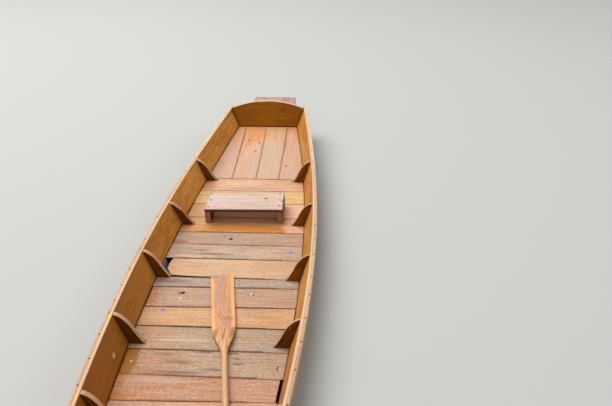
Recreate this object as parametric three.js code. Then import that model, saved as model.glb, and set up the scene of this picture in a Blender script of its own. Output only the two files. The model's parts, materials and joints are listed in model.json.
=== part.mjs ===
// A flat-bottomed wooden rowboat with a loose stool and paddle.
// Millimetres. +X is to starboard as seen looking along +Y, +Y runs along the boat, +Z is up.
// The origin is on the flat middle of the bottom, at half the boat's length and width.

import * as THREE from 'three';

// Length and bottom curve
const HALF_LENGTH = 2370; // middle of the boat to a transom's inner face at the floorboards
const FLAT_HALF = 300; // half the length of the flat stretch of bottom
const ROCKER_SQUARE = 50; // rise of the bottom at a transom, its square term
const ROCKER_FOURTH = 36; // and its fourth power term
const TONGUE_LENGTH = 750; // platform that carries the bottom on beyond each transom
const TONGUE_CURL = 1.2e-5; // extra upward bend of the tongue, per millimetre
const TONGUE_TIP_HALF = 213; // half the tongue's width at its tip
const TONGUE_CORNER = 18; // radius of the tongue's two corners

// Section of the hull
const BOTTOM_THICK = 22;
const TIMBER_HIGH = 30;
const BEARER_HIGH = 18;
const BOARD_THICK = 18;
const SIDE_WIDE = 16; // the side planks' thickness, measured level
const FLOOR_HALF = 460; // inner half width at the floorboards, at the middle
const FLOOR_NARROWING = 186; // how much less it is at a transom
const GUNWALE_HALF = 525; // inner half width at the gunwale, at the middle
const GUNWALE_SQUARE = -213; // its change towards a transom, square term
const GUNWALE_FOURTH = 32; // and fourth power term
const SIDE_ABOVE_FLOOR = 199; // gunwale above the floorboards at the middle
const SHEER_SQUARE = 50.7; // rise of the gunwale towards a transom, square term
const SHEER_FOURTH = 5.3; // and fourth power term
const RAIL_WIDE = 14;
const RAIL_HIGH = 42;

// Transoms
const TRANSOM_THICK = 30;
const TRANSOM_RAKE = 0.235; // outward lean for each millimetre of height
const TRANSOM_CROWN = 65; // the arch's rise at the middle, above its corners
const ARCH_STEPS = 16;
const SIDE_OVERRUN = 10; // the side planks and rails end this far beyond a transom
const LEAN_STRETCH = 400; // the sides' sections come to lean with the transom over this length

// Frames: a floor timber and two knees each, from far to near
const TIMBER_PLACES = [1360, 670, -3, -637, -1247];
const TIMBER_LONG = 46;
const KNEE_DROP = 4; // the knee's top below the gunwale
const KNEE_SLACK = 1.5; // room around a knee where it passes the floorboards
// The knees are cut and set by hand, and lean a little along the boat.
// Columns: middle at the timber's top, thickness, lean for each millimetre of height
const LEFT_KNEES = [
  [1368, 22, -0.16],
  [675, 22, -0.22],
  [5, 28, -0.05],
  [-632, 29, -0.035],
  [-1230, 28, 0],
];
const RIGHT_KNEES = [
  [1356, 15, -0.12],
  [674, 15, -0.11],
  [-10, 15, 0],
  [-641, 15, -0.02],
  [-1267, 15, 0],
];
// Columns: share of the knee's height above the floorboards, distance from the side plank
const KNEE_PROFILE = [
  [1.0, 10],
  [0.97, 20],
  [0.93, 30],
  [0.87, 40],
  [0.79, 49],
  [0.69, 57],
  [0.55, 63],
  [0.4, 67],
  [0.26, 72],
  [0.14, 78],
  [0.05, 84],
  [0.0, 88],
];

// Floor
const BEARER_PLACES = [-205, 205];
const BEARER_WIDE = 56;
const BEARER_END = 1470; // past the first seam, so that the lengthwise boards rest on them too
const BOARD_END_GAP = 1.5; // a transverse board's end to the side plank
// Seams between the transverse boards, from far to near.
// Columns: place along the boat at the left side, at the right side, gap at the left, at the right
const SEAMS = [
  [1388, 1382, 3, 2],
  [1180, 1183, 1, 1],
  [967, 979, 3, 3.5],
  [770, 768, 3, 1.5],
  [554, 560, 3.5, 2],
  [391, 388, 2, 1],
  [214, 211, 4, 3],
  [1, -9, 8, 1.5],
  [-112, -103, 5, 3.5],
  [-315, -299, 5, 5],
  [-491, -493, 6, 7],
  [-689, -691, 4, 3.5],
  [-886, -895, 1, 3],
  [-1077, -1056, 4, 1.5],
  [-1262, -1266, 3, 3],
  [-1370, -1370, 3, 3],
];
// Columns: how much shorter the board is at its left end, at its right end
const BOARD_ENDS = [
  [1, 2],
  [0, 1],
  [3, 1],
  [1, 0],
  [3, 2],
  [0, 2],
  [36, 3],
  [0, 3],
  [4, 1],
  [1, 3],
  [0, 2],
  [3, 1],
  [2, 15],
  [0, 4],
  [3, 1],
];
// One board is trimmed at its left end: both corners are off, and its near edge is cut back
const TRIMMED_BOARD = 6; // its row in BOARD_ENDS, counted from 0
const TRIMMED_FAR = [10, 60]; // across and along the boat
const TRIMMED_NEAR = 85; // along the boat, down to the knee
const TRIMMED_EDGE = 12;
const TRIMMED_EDGE_RUN = 200;
// Seams between the lengthwise boards of each end.
// Columns: place across the boat at the transverse boards, at the transom, gap at both
const LONG_SEAMS = [
  [-196, -208, 1.5, 3.5],
  [3, -11, 1.2, 2],
  [190, 187, 1.5, 3],
];
const LONG_EDGE_GAP = 2.5; // the outer lengthwise boards to the side plank
const LONG_END_GAP = 7; // their ends to the transom
const CLEAT_PLACE = 2310;

// Stool
const STOOL_PLACE = [3, 812];
const STOOL_TURN = 1.4; // degrees
const STOOL_LONG = 565;
const STOOL_DEEP = 262;
const STOOL_HIGH = 116;
const STOOL_TOP_THICK = 20;
const STOOL_LEG_THICK = 40;
const STOOL_LEG_DEEP = 250;
const STOOL_LIFT = 0.5; // its feet above the floorboards' mean surface

// Paddle, from the tip of its blade
const PADDLE_TIP = [-39, 15];
const PADDLE_TURN = 10.6; // degrees between its shaft and the boat's middle line
const PADDLE_LENGTH = 1650;
const PADDLE_TIP_LIFT = 6.1; // its middle line above the floorboards at the tip
const PADDLE_GRIP_LIFT = 20.1; // and at the grip's end
const PADDLE_RING_POINTS = 16;
// Columns: distance from the tip, half width, half thickness, roundness of the section
const PADDLE_SECTIONS = [
  [0, 66, 3.5, 3.4],
  [3, 70.5, 5, 3.4],
  [12, 73, 6, 3.4],
  [120, 72, 7, 3.4],
  [300, 70.5, 8, 3.4],
  [480, 69.5, 9.5, 3.4],
  [560, 66.5, 10.5, 3.4],
  [600, 61, 11.5, 3.4],
  [640, 51, 12.5, 3.2],
  [680, 38, 14, 2.9],
  [715, 27, 15, 2.5],
  [750, 19.5, 16, 2.2],
  [800, 16.5, 16.5, 2],
  [1150, 16.5, 16.5, 2],
  [1540, 16.5, 16.5, 2],
  [1580, 19, 18, 2],
  [1610, 23, 20, 2],
  [1634, 24, 20, 2],
  [1645, 19, 16, 2],
  [1650, 11, 9, 2],
];

const FIT = 0.4; // room between pieces that rest on each other
const TWIST_FIT = 0.8; // and where the faces that meet are twisted

// Weathered hardwood in its several states
const WOOD = {
  side: { color: 0xb9762c, roughness: 0.55 },
  edge: { color: 0xdfae7f, roughness: 0.65 },
  transom: { color: 0x8a4f1c, roughness: 0.6 },
  knee: { color: 0x9c5c26, roughness: 0.6 },
  board: { color: 0xcf9c6e, roughness: 0.7 },
  bottom: { color: 0xb5805a, roughness: 0.8 },
  hidden: { color: 0x8d6743, roughness: 0.85 },
  stool: { color: 0xc9a18c, roughness: 0.75 },
  paddle: { color: 0xd39a63, roughness: 0.6 },
};

const FLOOR_TOP = BOTTOM_THICK + TIMBER_HIGH + BEARER_HIGH + BOARD_THICK;
const TIMBER_TOP = BOTTOM_THICK + TIMBER_HIGH;
const ROCKER_SPAN = HALF_LENGTH - FLAT_HALF;
const END_SLOPE = (2 * ROCKER_SQUARE + 4 * ROCKER_FOURTH) / ROCKER_SPAN;
const FLAT_STEPS = 5;
const HULL_STEPS = 30;
const TONGUE_STEPS = 5;

// The hull's curves, each a function of the place along the boat

function rise(y) {
  const along = Math.abs(y);
  if (along <= FLAT_HALF) return 0;
  const share = (Math.min(along, HALF_LENGTH) - FLAT_HALF) / ROCKER_SPAN;
  const beyond = Math.max(along - HALF_LENGTH, 0);
  const inHull = ROCKER_SQUARE * share ** 2 + ROCKER_FOURTH * share ** 4;
  return inHull + END_SLOPE * beyond + TONGUE_CURL * beyond ** 2;
}

function slope(y) {
  const step = 1;
  return (rise(y + step) - rise(y - step)) / (2 * step);
}

function sheer(y) {
  const share = y / HALF_LENGTH;
  return FLOOR_TOP + SIDE_ABOVE_FLOOR + SHEER_SQUARE * share ** 2 + SHEER_FOURTH * share ** 4;
}

// Inner half width of the hull at a place and a height
function innerHalf(y, z) {
  const share = y / HALF_LENGTH;
  const atFloor = FLOOR_HALF - FLOOR_NARROWING * share ** 2;
  const atGunwale = GUNWALE_HALF + GUNWALE_SQUARE * share ** 2 + GUNWALE_FOURTH * share ** 4;
  const floorTop = FLOOR_TOP + rise(y);
  const flare = (atGunwale - atFloor) / (sheer(y) - floorTop);
  return atFloor + flare * (z - floorTop);
}

// Outer half width of the bottom planking, tongues included
function bottomHalf(y) {
  const along = Math.min(Math.abs(y), HALF_LENGTH);
  const inHull = innerHalf(along, rise(along) + BOTTOM_THICK) + SIDE_WIDE;
  const share = Math.max(Math.abs(y) - HALF_LENGTH, 0) / TONGUE_LENGTH;
  return inHull + (TONGUE_TIP_HALF - inHull) * share;
}

// Place along the boat of a transom's inner face at a height, for the end at +Y
function transomPlace(z) {
  return HALF_LENGTH + TRANSOM_RAKE * (z - FLOOR_TOP - rise(HALF_LENGTH));
}

// Places along half the hull, from beside the middle to the transom
function halfStations() {
  const places = [];
  for (let i = 0; i < FLAT_STEPS; i += 1) {
    places.push((FLAT_HALF * (i + 0.5)) / FLAT_STEPS);
  }
  for (let i = 0; i <= HULL_STEPS; i += 1) {
    places.push(FLAT_HALF + (ROCKER_SPAN * i) / HULL_STEPS);
  }
  return places;
}

// Places along a tongue, closer together around its rounded corners
function tongueStations() {
  const places = [HALF_LENGTH + FIT];
  for (let i = 1; i <= TONGUE_STEPS; i += 1) {
    places.push(HALF_LENGTH + ((TONGUE_LENGTH - TONGUE_CORNER) * i) / TONGUE_STEPS);
  }
  for (const share of [0.5, 0.85, 1]) {
    places.push(HALF_LENGTH + TONGUE_LENGTH - TONGUE_CORNER * (1 - share));
  }
  return places;
}

function bothWays(places) {
  const near = places.map((y) => -y).reverse();
  return near.concat(places);
}

// Building solids

function signedVolume(points, faces) {
  const [a, b, c] = [new THREE.Vector3(), new THREE.Vector3(), new THREE.Vector3()];
  let total = 0;
  for (let i = 0; i < faces.length; i += 3) {
    a.fromArray(points, 3 * faces[i]);
    b.fromArray(points, 3 * faces[i + 1]);
    c.fromArray(points, 3 * faces[i + 2]);
    total += a.dot(b.cross(c)) / 6;
  }
  return total;
}

// A closed solid through rings of points [x, y, z] that follow each other along the boat
function loft(sections) {
  const outline = (ring) => ring.map(([x, , z]) => new THREE.Vector2(x, z));
  const clockwise = THREE.ShapeUtils.isClockWise(outline(sections[0]));
  const rings = clockwise ? sections.map((ring) => ring.toReversed()) : sections;
  const count = rings[0].length;
  const points = rings.flat(2);
  const faces = [];
  for (let r = 0; r < rings.length - 1; r += 1) {
    for (let i = 0; i < count; i += 1) {
      const a = r * count + i;
      const b = r * count + ((i + 1) % count);
      faces.push(a, b, b + count, a, b + count, a + count);
    }
  }
  const last = (rings.length - 1) * count;
  for (const [a, b, c] of THREE.ShapeUtils.triangulateShape(outline(rings[0]), [])) {
    faces.push(a, c, b);
  }
  for (const [a, b, c] of THREE.ShapeUtils.triangulateShape(outline(rings.at(-1)), [])) {
    faces.push(last + a, last + b, last + c);
  }
  if (signedVolume(points, faces) < 0) faces.reverse();
  const geometry = new THREE.BufferGeometry();
  geometry.setAttribute('position', new THREE.Float32BufferAttribute(points, 3));
  geometry.setIndex(faces);
  geometry.computeVertexNormals();
  return geometry;
}

const boat = new THREE.Group();

function addPiece(name, geometry, wood) {
  const material = new THREE.MeshStandardMaterial({ ...wood, metalness: 0 });
  const mesh = new THREE.Mesh(geometry, material);
  mesh.name = name;
  boat.add(mesh);
  return mesh;
}

// Bottom planking: three planks that taper with the hull, and a tongue beyond each transom.
// They meet under the transom.

function bottomRing(y, left, right) {
  const low = rise(y);
  const high = low + BOTTOM_THICK;
  return [[left, y, low], [right, y, low], [right, y, high], [left, y, high]];
}

function bottomPlank(fromShare, toShare) {
  return loft(bothWays(halfStations()).map((y) => {
    const half = bottomHalf(y);
    const left = fromShare === -1 ? -half : fromShare * half + FIT / 2;
    const right = toShare === 1 ? half : toShare * half - FIT / 2;
    return bottomRing(y, left, right);
  }));
}

function tongueCornerCut(y) {
  const past = y - (HALF_LENGTH + TONGUE_LENGTH - TONGUE_CORNER);
  if (past <= 0) return 0;
  return TONGUE_CORNER - Math.sqrt(Math.max(TONGUE_CORNER ** 2 - past ** 2, 0));
}

function tongue(end) {
  return loft(tongueStations().map((place) => {
    const half = bottomHalf(place) - tongueCornerCut(place);
    return bottomRing(end * place, -half, half);
  }));
}

function buildBottom() {
  addPiece('bottom_plank_left', bottomPlank(-1, -1 / 3), WOOD.bottom);
  addPiece('bottom_plank_middle', bottomPlank(-1 / 3, 1 / 3), WOOD.bottom);
  addPiece('bottom_plank_right', bottomPlank(1 / 3, 1), WOOD.bottom);
  addPiece('tongue_far', tongue(1), WOOD.bottom);
  addPiece('tongue_near', tongue(-1), WOOD.bottom);
}

// Sides, each with a rail along its top edge

// How far a section leans with the transom: none along the hull, all of it at the end
function leanShare(along) {
  return THREE.MathUtils.clamp((along - (HALF_LENGTH - LEAN_STRETCH)) / LEAN_STRETCH, 0, 1);
}

// Rings of a long piece of the side; corners gives its section at a place, as [x, z] pairs
function sideRings(corners) {
  const lastPlace = HALF_LENGTH + TRANSOM_THICK + SIDE_OVERRUN;
  return bothWays([...halfStations(), lastPlace]).map((place) => {
    const leaning = Math.sign(place) * leanShare(Math.abs(place));
    return corners(place).map(([, z], index) => {
      const y = place + leaning * (transomPlace(z) - HALF_LENGTH);
      const [x, height] = corners(y)[index];
      return [x, y, height];
    });
  });
}

function buildSides() {
  for (const [word, way] of [['left', -1], ['right', 1]]) {
    const plank = sideRings((y) => {
      const foot = rise(y) + BOTTOM_THICK + FIT;
      const top = sheer(y);
      const outside = [foot, (foot + top) / 2, top - RAIL_HIGH, top];
      const inside = [top, (foot + top) / 2, foot];
      return [
        ...outside.map((z) => [way * (innerHalf(y, z) + SIDE_WIDE), z]),
        ...inside.map((z) => [way * innerHalf(y, z), z]),
      ];
    });
    addPiece(`side_plank_${word}`, loft(plank), WOOD.side);

    const rail = sideRings((y) => {
      const top = sheer(y);
      const foot = top - RAIL_HIGH;
      const outTop = innerHalf(y, top) + SIDE_WIDE + TWIST_FIT;
      const outFoot = innerHalf(y, foot) + SIDE_WIDE + TWIST_FIT;
      const outside = outTop + RAIL_WIDE;
      return [[way * outFoot, foot], [way * outside, foot], [way * outside, top], [way * outTop, top]];
    });
    addPiece(`rail_${word}`, loft(rail), WOOD.edge);
  }
}

// Transoms: raked end boards with an arched top

function transomRing(end, offset) {
  const ring = [];
  const at = (share, z) => {
    const y = transomPlace(z) + offset;
    ring.push([share * (innerHalf(y, z) - TWIST_FIT), end * y, z]);
  };
  const foot = rise(HALF_LENGTH + offset) + BOTTOM_THICK + FIT;
  const corner = sheer(HALF_LENGTH);
  at(-1, (foot + corner) / 2);
  at(-1, foot);
  at(1, foot);
  at(1, (foot + corner) / 2);
  for (let i = 0; i <= ARCH_STEPS; i += 1) {
    const share = 1 - (2 * i) / ARCH_STEPS;
    const z = corner + TRANSOM_CROWN * (1 - share ** 2);
    const y = transomPlace(z) + offset;
    ring.push([share * (innerHalf(y, corner) - TWIST_FIT), end * y, z]);
  }
  return ring;
}

function buildTransoms() {
  for (const [word, end] of [['far', 1], ['near', -1]]) {
    const solid = loft([0, TRANSOM_THICK / 2, TRANSOM_THICK].map((offset) => transomRing(end, offset)));
    addPiece(`transom_${word}`, solid, WOOD.transom);
  }
}

// Floor timbers under the frames, and a cleat under the lengthwise boards at each transom

function crossBeam(place, high) {
  const ring = (y) => {
    const foot = rise(y) + BOTTOM_THICK + FIT;
    const top = rise(y) + BOTTOM_THICK + high;
    const atFoot = innerHalf(y, foot) - FIT;
    const atTop = innerHalf(y, top) - FIT;
    return [[-atFoot, y, foot], [atFoot, y, foot], [atTop, y, top], [-atTop, y, top]];
  };
  return loft([ring(place - TIMBER_LONG / 2), ring(place + TIMBER_LONG / 2)]);
}

function buildTimbers() {
  TIMBER_PLACES.forEach((place, index) => {
    addPiece(`floor_timber_${index + 1}`, crossBeam(place, TIMBER_HIGH), WOOD.hidden);
  });
  for (const [word, end] of [['far', 1], ['near', -1]]) {
    addPiece(`cleat_${word}`, crossBeam(end * CLEAT_PLACE, TIMBER_HIGH + BEARER_HIGH), WOOD.hidden);
  }
}

// Bearers: two lengthwise laths on the floor timbers, which carry the floorboards

function buildBearers() {
  const places = bothWays([...halfStations().filter((y) => y < BEARER_END), BEARER_END]);
  BEARER_PLACES.forEach((middle, index) => {
    const solid = loft(places.map((y) => {
      const low = rise(y) + TIMBER_TOP + FIT;
      const high = rise(y) + TIMBER_TOP + BEARER_HIGH;
      const left = middle - BEARER_WIDE / 2;
      const right = middle + BEARER_WIDE / 2;
      return [[left, y, low], [right, y, low], [right, y, high], [left, y, high]];
    }));
    addPiece(`bearer_${['left', 'right'][index]}`, solid, WOOD.hidden);
  });
}

// Knees: a bracket on each side of each frame

function kneeReach(y) {
  return innerHalf(y, FLOOR_TOP + rise(y)) - KNEE_PROFILE.at(-1)[1];
}

function kneeRing(place, lean, way) {
  const foot = rise(place) + TIMBER_TOP + FIT;
  const floor = rise(place) + FLOOR_TOP;
  const top = sheer(place) - KNEE_DROP;
  const at = (distance, z) => {
    const y = place + lean * (z - foot);
    return [way * (innerHalf(y, z) - distance), y, z];
  };
  const curve = KNEE_PROFILE.map(([share, distance]) => at(distance, floor + share * (top - floor)));
  const [toe] = curve.at(-1);
  return [at(FIT, foot), at(FIT, top), ...curve, [toe, place, foot]];
}

function buildKnees() {
  for (const [word, way, knees] of [['left', -1, LEFT_KNEES], ['right', 1, RIGHT_KNEES]]) {
    knees.forEach(([middle, thick, lean], index) => {
      const faces = [middle - thick / 2, middle + thick / 2];
      addPiece(`knee_${index + 1}_${word}`, loft(faces.map((y) => kneeRing(y, lean, way))), WOOD.knee);
    });
  }
}

// Transverse floorboards, flat boards that lean with the bottom and are notched around the knees

// One end of a board at its underside, from its near edge to its far edge, as [x, y] points
function boardEnd(way, near, far, shorter) {
  const end = (y) => {
    const underside = rise(y) + FLOOR_TOP - BOARD_THICK;
    return way * (innerHalf(y, underside) - BOARD_END_GAP - shorter);
  };
  const points = [];
  const knees = way < 0 ? LEFT_KNEES : RIGHT_KNEES;
  let y = near;
  for (const [middle, thick, lean] of knees.toReversed()) {
    const leans = [lean * BEARER_HIGH, lean * (BEARER_HIGH + BOARD_THICK)];
    const low = middle + Math.min(...leans) - thick / 2 - KNEE_SLACK;
    const high = middle + Math.max(...leans) + thick / 2 + KNEE_SLACK;
    if (high <= near || low >= far) continue;
    const root = way * (Math.min(kneeReach(low), kneeReach(high)) - KNEE_SLACK);
    if (low > near) points.push([end(y), y], [end(low), low]);
    points.push([root, Math.max(low, near)], [root, Math.min(high, far)]);
    y = high;
  }
  if (y < far) points.push([end(y), y], [end(far), far]);
  return points;
}

// Slants a board's two ends with the sides, but not its notches around the knees
function slantEnds(board, middle) {
  const points = board.getAttribute('position');
  for (let i = 0; i < points.count; i += 1) {
    const x = points.getX(i);
    const up = points.getZ(i);
    const y = middle + points.getY(i);
    const floor = rise(y) + FLOOR_TOP;
    const pastKnees = Math.abs(x) > innerHalf(y, floor) - KNEE_PROFILE.at(-1)[1] / 2;
    if (pastKnees) points.setX(i, x + Math.sign(x) * (innerHalf(y, floor + up) - innerHalf(y, floor)));
  }
  board.computeVertexNormals();
}

function transverseBoard(index) {
  const [farLeft, farRight, farGapLeft, farGapRight] = SEAMS[index];
  const [nearLeft, nearRight, nearGapLeft, nearGapRight] = SEAMS[index + 1];
  const [shortLeft, shortRight] = BOARD_ENDS[index];
  const right = boardEnd(1, nearRight + nearGapRight / 2, farRight - farGapRight / 2, shortRight);
  const left = boardEnd(-1, nearLeft + nearGapLeft / 2, farLeft - farGapLeft / 2, shortLeft);
  if (index === TRIMMED_BOARD) {
    const [root, near] = left[0];
    const [edge, far] = left.at(-1);
    const slot = [[root + TRIMMED_EDGE_RUN, near], [root, near + TRIMMED_EDGE], [edge, near + TRIMMED_NEAR]];
    const [across, along] = TRIMMED_FAR;
    left.splice(0, left.length, ...slot, [edge, far - along], [edge + across, far]);
  }
  const middle = (farLeft + farRight + nearLeft + nearRight) / 4;
  const lean = Math.atan(slope(middle));
  const outline = right.concat(left.reverse());
  const shape = new THREE.Shape(outline.map(([x, y]) => new THREE.Vector2(x, (y - middle) / Math.cos(lean))));
  const board = new THREE.ExtrudeGeometry(shape, { depth: BOARD_THICK - FIT, bevelEnabled: false });
  slantEnds(board, middle);
  return { board, middle, lean };
}

function buildTransverseBoards() {
  BOARD_ENDS.forEach((_, index) => {
    const { board, middle, lean } = transverseBoard(index);
    const number = String(index + 1).padStart(2, '0');
    const mesh = addPiece(`floorboard_${number}`, board, WOOD.board);
    mesh.rotation.x = lean;
    mesh.position.set(0, middle, rise(middle) + FLOOR_TOP - BOARD_THICK + FIT);
  });
}

// Lengthwise boards at each end, sprung to the bottom's curve

// A seam's place across the boat; way gives the edge that its gap leaves on one side of it
function longSeam([first, last, firstGap, lastGap], y, way) {
  const share = (y - SEAMS[0][0]) / (HALF_LENGTH - SEAMS[0][0]);
  return first + (last - first) * share + (way * (firstGap + (lastGap - firstGap) * share)) / 2;
}

function lengthwiseBoard(end, leftSeam, rightSeam) {
  const [atLeft, atRight] = end > 0 ? SEAMS[0] : SEAMS.at(-1);
  const middle = ((leftSeam?.[0] ?? -FLOOR_HALF) + (rightSeam?.[0] ?? FLOOR_HALF)) / 2;
  const across = (middle + FLOOR_HALF) / (2 * FLOOR_HALF);
  const from = Math.abs(atLeft + (atRight - atLeft) * across) + 3;
  const to = HALF_LENGTH - LONG_END_GAP;
  const places = [from, ...halfStations().filter((y) => y > from && y < to), to];
  return loft(places.map((y) => {
    const low = rise(y) + FLOOR_TOP - BOARD_THICK + FIT;
    const high = rise(y) + FLOOR_TOP;
    const edge = (z) => innerHalf(y, z) - LONG_EDGE_GAP;
    const left = (z) => (leftSeam === null ? -edge(z) : longSeam(leftSeam, y, 1));
    const right = (z) => (rightSeam === null ? edge(z) : longSeam(rightSeam, y, -1));
    return [
      [left(low), end * y, low],
      [right(low), end * y, low],
      [right(high), end * y, high],
      [left(high), end * y, high],
    ];
  }));
}

function buildLengthwiseBoards() {
  for (const [word, end] of [['far', 1], ['near', -1]]) {
    const edges = [null, ...LONG_SEAMS, null];
    for (let i = 0; i < edges.length - 1; i += 1) {
      const solid = lengthwiseBoard(end, edges[i], edges[i + 1]);
      addPiece(`end_board_${word}_${i + 1}`, solid, WOOD.board);
    }
  }
}

// Stool: a plank on two leg boards

function buildStool() {
  const [x, y] = STOOL_PLACE;
  const stool = new THREE.Group();
  stool.rotation.order = 'XYZ';
  stool.rotation.set(Math.atan(slope(y)), 0, THREE.MathUtils.degToRad(STOOL_TURN));
  stool.position.set(x, y, rise(y) + FLOOR_TOP + STOOL_LIFT);
  boat.add(stool);

  const legHigh = STOOL_HIGH - STOOL_TOP_THICK;
  const top = new THREE.BoxGeometry(STOOL_LONG, STOOL_DEEP, STOOL_TOP_THICK);
  const topMesh = addPiece('stool_top', top, WOOD.stool);
  topMesh.position.z = legHigh + FIT + STOOL_TOP_THICK / 2;
  stool.add(topMesh);
  for (const [word, way] of [['left', -1], ['right', 1]]) {
    const leg = new THREE.BoxGeometry(STOOL_LEG_THICK, STOOL_LEG_DEEP, legHigh);
    const mesh = addPiece(`stool_leg_${word}`, leg, WOOD.stool);
    mesh.position.set(way * (STOOL_LONG - STOOL_LEG_THICK) / 2, 0, legHigh / 2);
    stool.add(mesh);
  }
}

// Paddle: one carved piece, lying on the floorboards

function paddleRing([along, halfWide, halfThick, roundness]) {
  const power = 2 / roundness;
  const ring = [];
  for (let i = 0; i < PADDLE_RING_POINTS; i += 1) {
    const angle = (2 * Math.PI * i) / PADDLE_RING_POINTS;
    const across = Math.sign(Math.cos(angle)) * Math.abs(Math.cos(angle)) ** power;
    const up = Math.sign(Math.sin(angle)) * Math.abs(Math.sin(angle)) ** power;
    ring.push([halfWide * across, along, halfThick * up]);
  }
  return ring;
}

function buildPaddle() {
  const turn = THREE.MathUtils.degToRad(PADDLE_TURN);
  const [tipX, tipY] = PADDLE_TIP;
  const endY = tipY - PADDLE_LENGTH * Math.cos(turn);
  const tipZ = FLOOR_TOP + rise(tipY) + PADDLE_TIP_LIFT;
  const endZ = FLOOR_TOP + rise(endY) + PADDLE_GRIP_LIFT;
  const paddle = addPiece('paddle', loft(PADDLE_SECTIONS.map(paddleRing)), WOOD.paddle);
  paddle.rotation.order = 'ZXY';
  paddle.rotation.set(Math.asin((endZ - tipZ) / PADDLE_LENGTH), 0, turn - Math.PI);
  paddle.position.set(tipX, tipY, tipZ);
}

buildBottom();
buildSides();
buildTransoms();
buildTimbers();
buildBearers();
buildKnees();
buildTransverseBoards();
buildLengthwiseBoards();
buildStool();
buildPaddle();

export default boat;
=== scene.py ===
"""Looks of a flat-bottomed wooden rowboat with a loose stool and a loose paddle.

Each timber is a merged copy of its CAD node with eased edges and its own wood. Nails and screws are added,
and the studio's floor lies at the waterline.
"""

import json
import logging
import math
from collections.abc import Callable
from dataclasses import dataclass, field, replace
from enum import IntEnum

import bmesh
import bpy
from mathutils import Matrix, Vector, noise

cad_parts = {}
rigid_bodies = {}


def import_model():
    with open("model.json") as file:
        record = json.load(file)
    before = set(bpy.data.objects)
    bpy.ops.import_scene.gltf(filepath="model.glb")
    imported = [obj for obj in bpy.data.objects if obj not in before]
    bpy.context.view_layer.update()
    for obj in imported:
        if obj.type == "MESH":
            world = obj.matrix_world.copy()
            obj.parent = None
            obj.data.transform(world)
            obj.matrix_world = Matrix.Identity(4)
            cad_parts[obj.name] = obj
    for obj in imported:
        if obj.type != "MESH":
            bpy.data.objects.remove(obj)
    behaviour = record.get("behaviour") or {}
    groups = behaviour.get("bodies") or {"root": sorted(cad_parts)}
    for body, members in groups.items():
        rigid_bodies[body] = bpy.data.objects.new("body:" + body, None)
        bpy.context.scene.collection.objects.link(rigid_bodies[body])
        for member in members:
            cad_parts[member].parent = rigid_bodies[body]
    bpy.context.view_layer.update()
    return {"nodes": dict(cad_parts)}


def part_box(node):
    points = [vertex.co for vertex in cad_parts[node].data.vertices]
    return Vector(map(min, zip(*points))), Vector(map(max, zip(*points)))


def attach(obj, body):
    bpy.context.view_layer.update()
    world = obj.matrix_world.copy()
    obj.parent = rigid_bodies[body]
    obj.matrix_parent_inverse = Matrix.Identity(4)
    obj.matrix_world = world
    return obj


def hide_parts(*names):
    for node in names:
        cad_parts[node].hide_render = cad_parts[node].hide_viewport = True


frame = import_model()
log = logging.getLogger("rowboat")

WATERLINE = 0.061
MM = 0.001

Place = tuple[float, float, float]
WoodPlace = Callable[[Vector], Place]
Tree = bpy.types.NodeTree
Socket = bpy.types.NodeSocket
Material = bpy.types.Material
Mesh = bmesh.types.BMesh
Face = bmesh.types.BMFace


class Sign(IntEnum):
    """One of two halves of the boat, whose value is its sign along an axis."""

    @property
    def word(self) -> str:
        """Returns the half's name, as the pieces' names have it."""
        return self.name.lower()


class Side(Sign):
    """The boat's sides as the camera sees them, with their signs along X."""

    LEFT = -1
    RIGHT = 1


class End(Sign):
    """The boat's ends as the camera sees them, with their signs along Y."""

    FAR = 1
    NEAR = -1


def linear(hex_colour: str) -> tuple[float, float, float, float]:
    """Turns an sRGB hex colour into Blender's linear colour, by the curve of the sRGB standard.

    Args:
        hex_colour: Six hex digits after a hash sign.

    Returns:
        Red, green, blue and an alpha of 1.
    """
    channels = [int(hex_colour[i:i + 2], 16) / 255 for i in (1, 3, 5)]
    red, green, blue = (c / 12.92 if c <= 0.04045 else ((c + 0.055) / 1.055) ** 2.4 for c in channels)
    return (red, green, blue, 1.0)


def add_node(tree: Tree, kind: str, inputs: dict | None = None, **settings: object) -> bpy.types.Node:
    """Adds one shader node.

    Args:
        tree: The material's node tree.
        kind: The node's type, without its ShaderNode prefix.
        inputs: Input name or number, with a value or a socket to link.
        settings: The node's own properties.

    Returns:
        The new node.
    """
    node = tree.nodes.new("ShaderNode" + kind)
    for name, value in settings.items():
        setattr(node, name, value)
    for name, value in (inputs or {}).items():
        if isinstance(value, Socket):
            tree.links.new(value, node.inputs[name])
        else:
            node.inputs[name].default_value = value
    return node


def bare_material(name: str) -> Material:
    """Makes a material whose node tree is still empty.

    Args:
        name: The material's name.

    Returns:
        The new material.
    """
    material = bpy.data.materials.new(name)
    material.use_nodes = True
    material.node_tree.nodes.clear()
    return material


def stand(name: str, data: bpy.types.ID) -> bpy.types.Object:
    """Puts a mesh, a light or a camera into the scene.

    Args:
        name: The object's name.
        data: What it shows.

    Returns:
        The new object.
    """
    thing = bpy.data.objects.new(name, data)
    bpy.context.scene.collection.objects.link(thing)
    return thing


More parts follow.
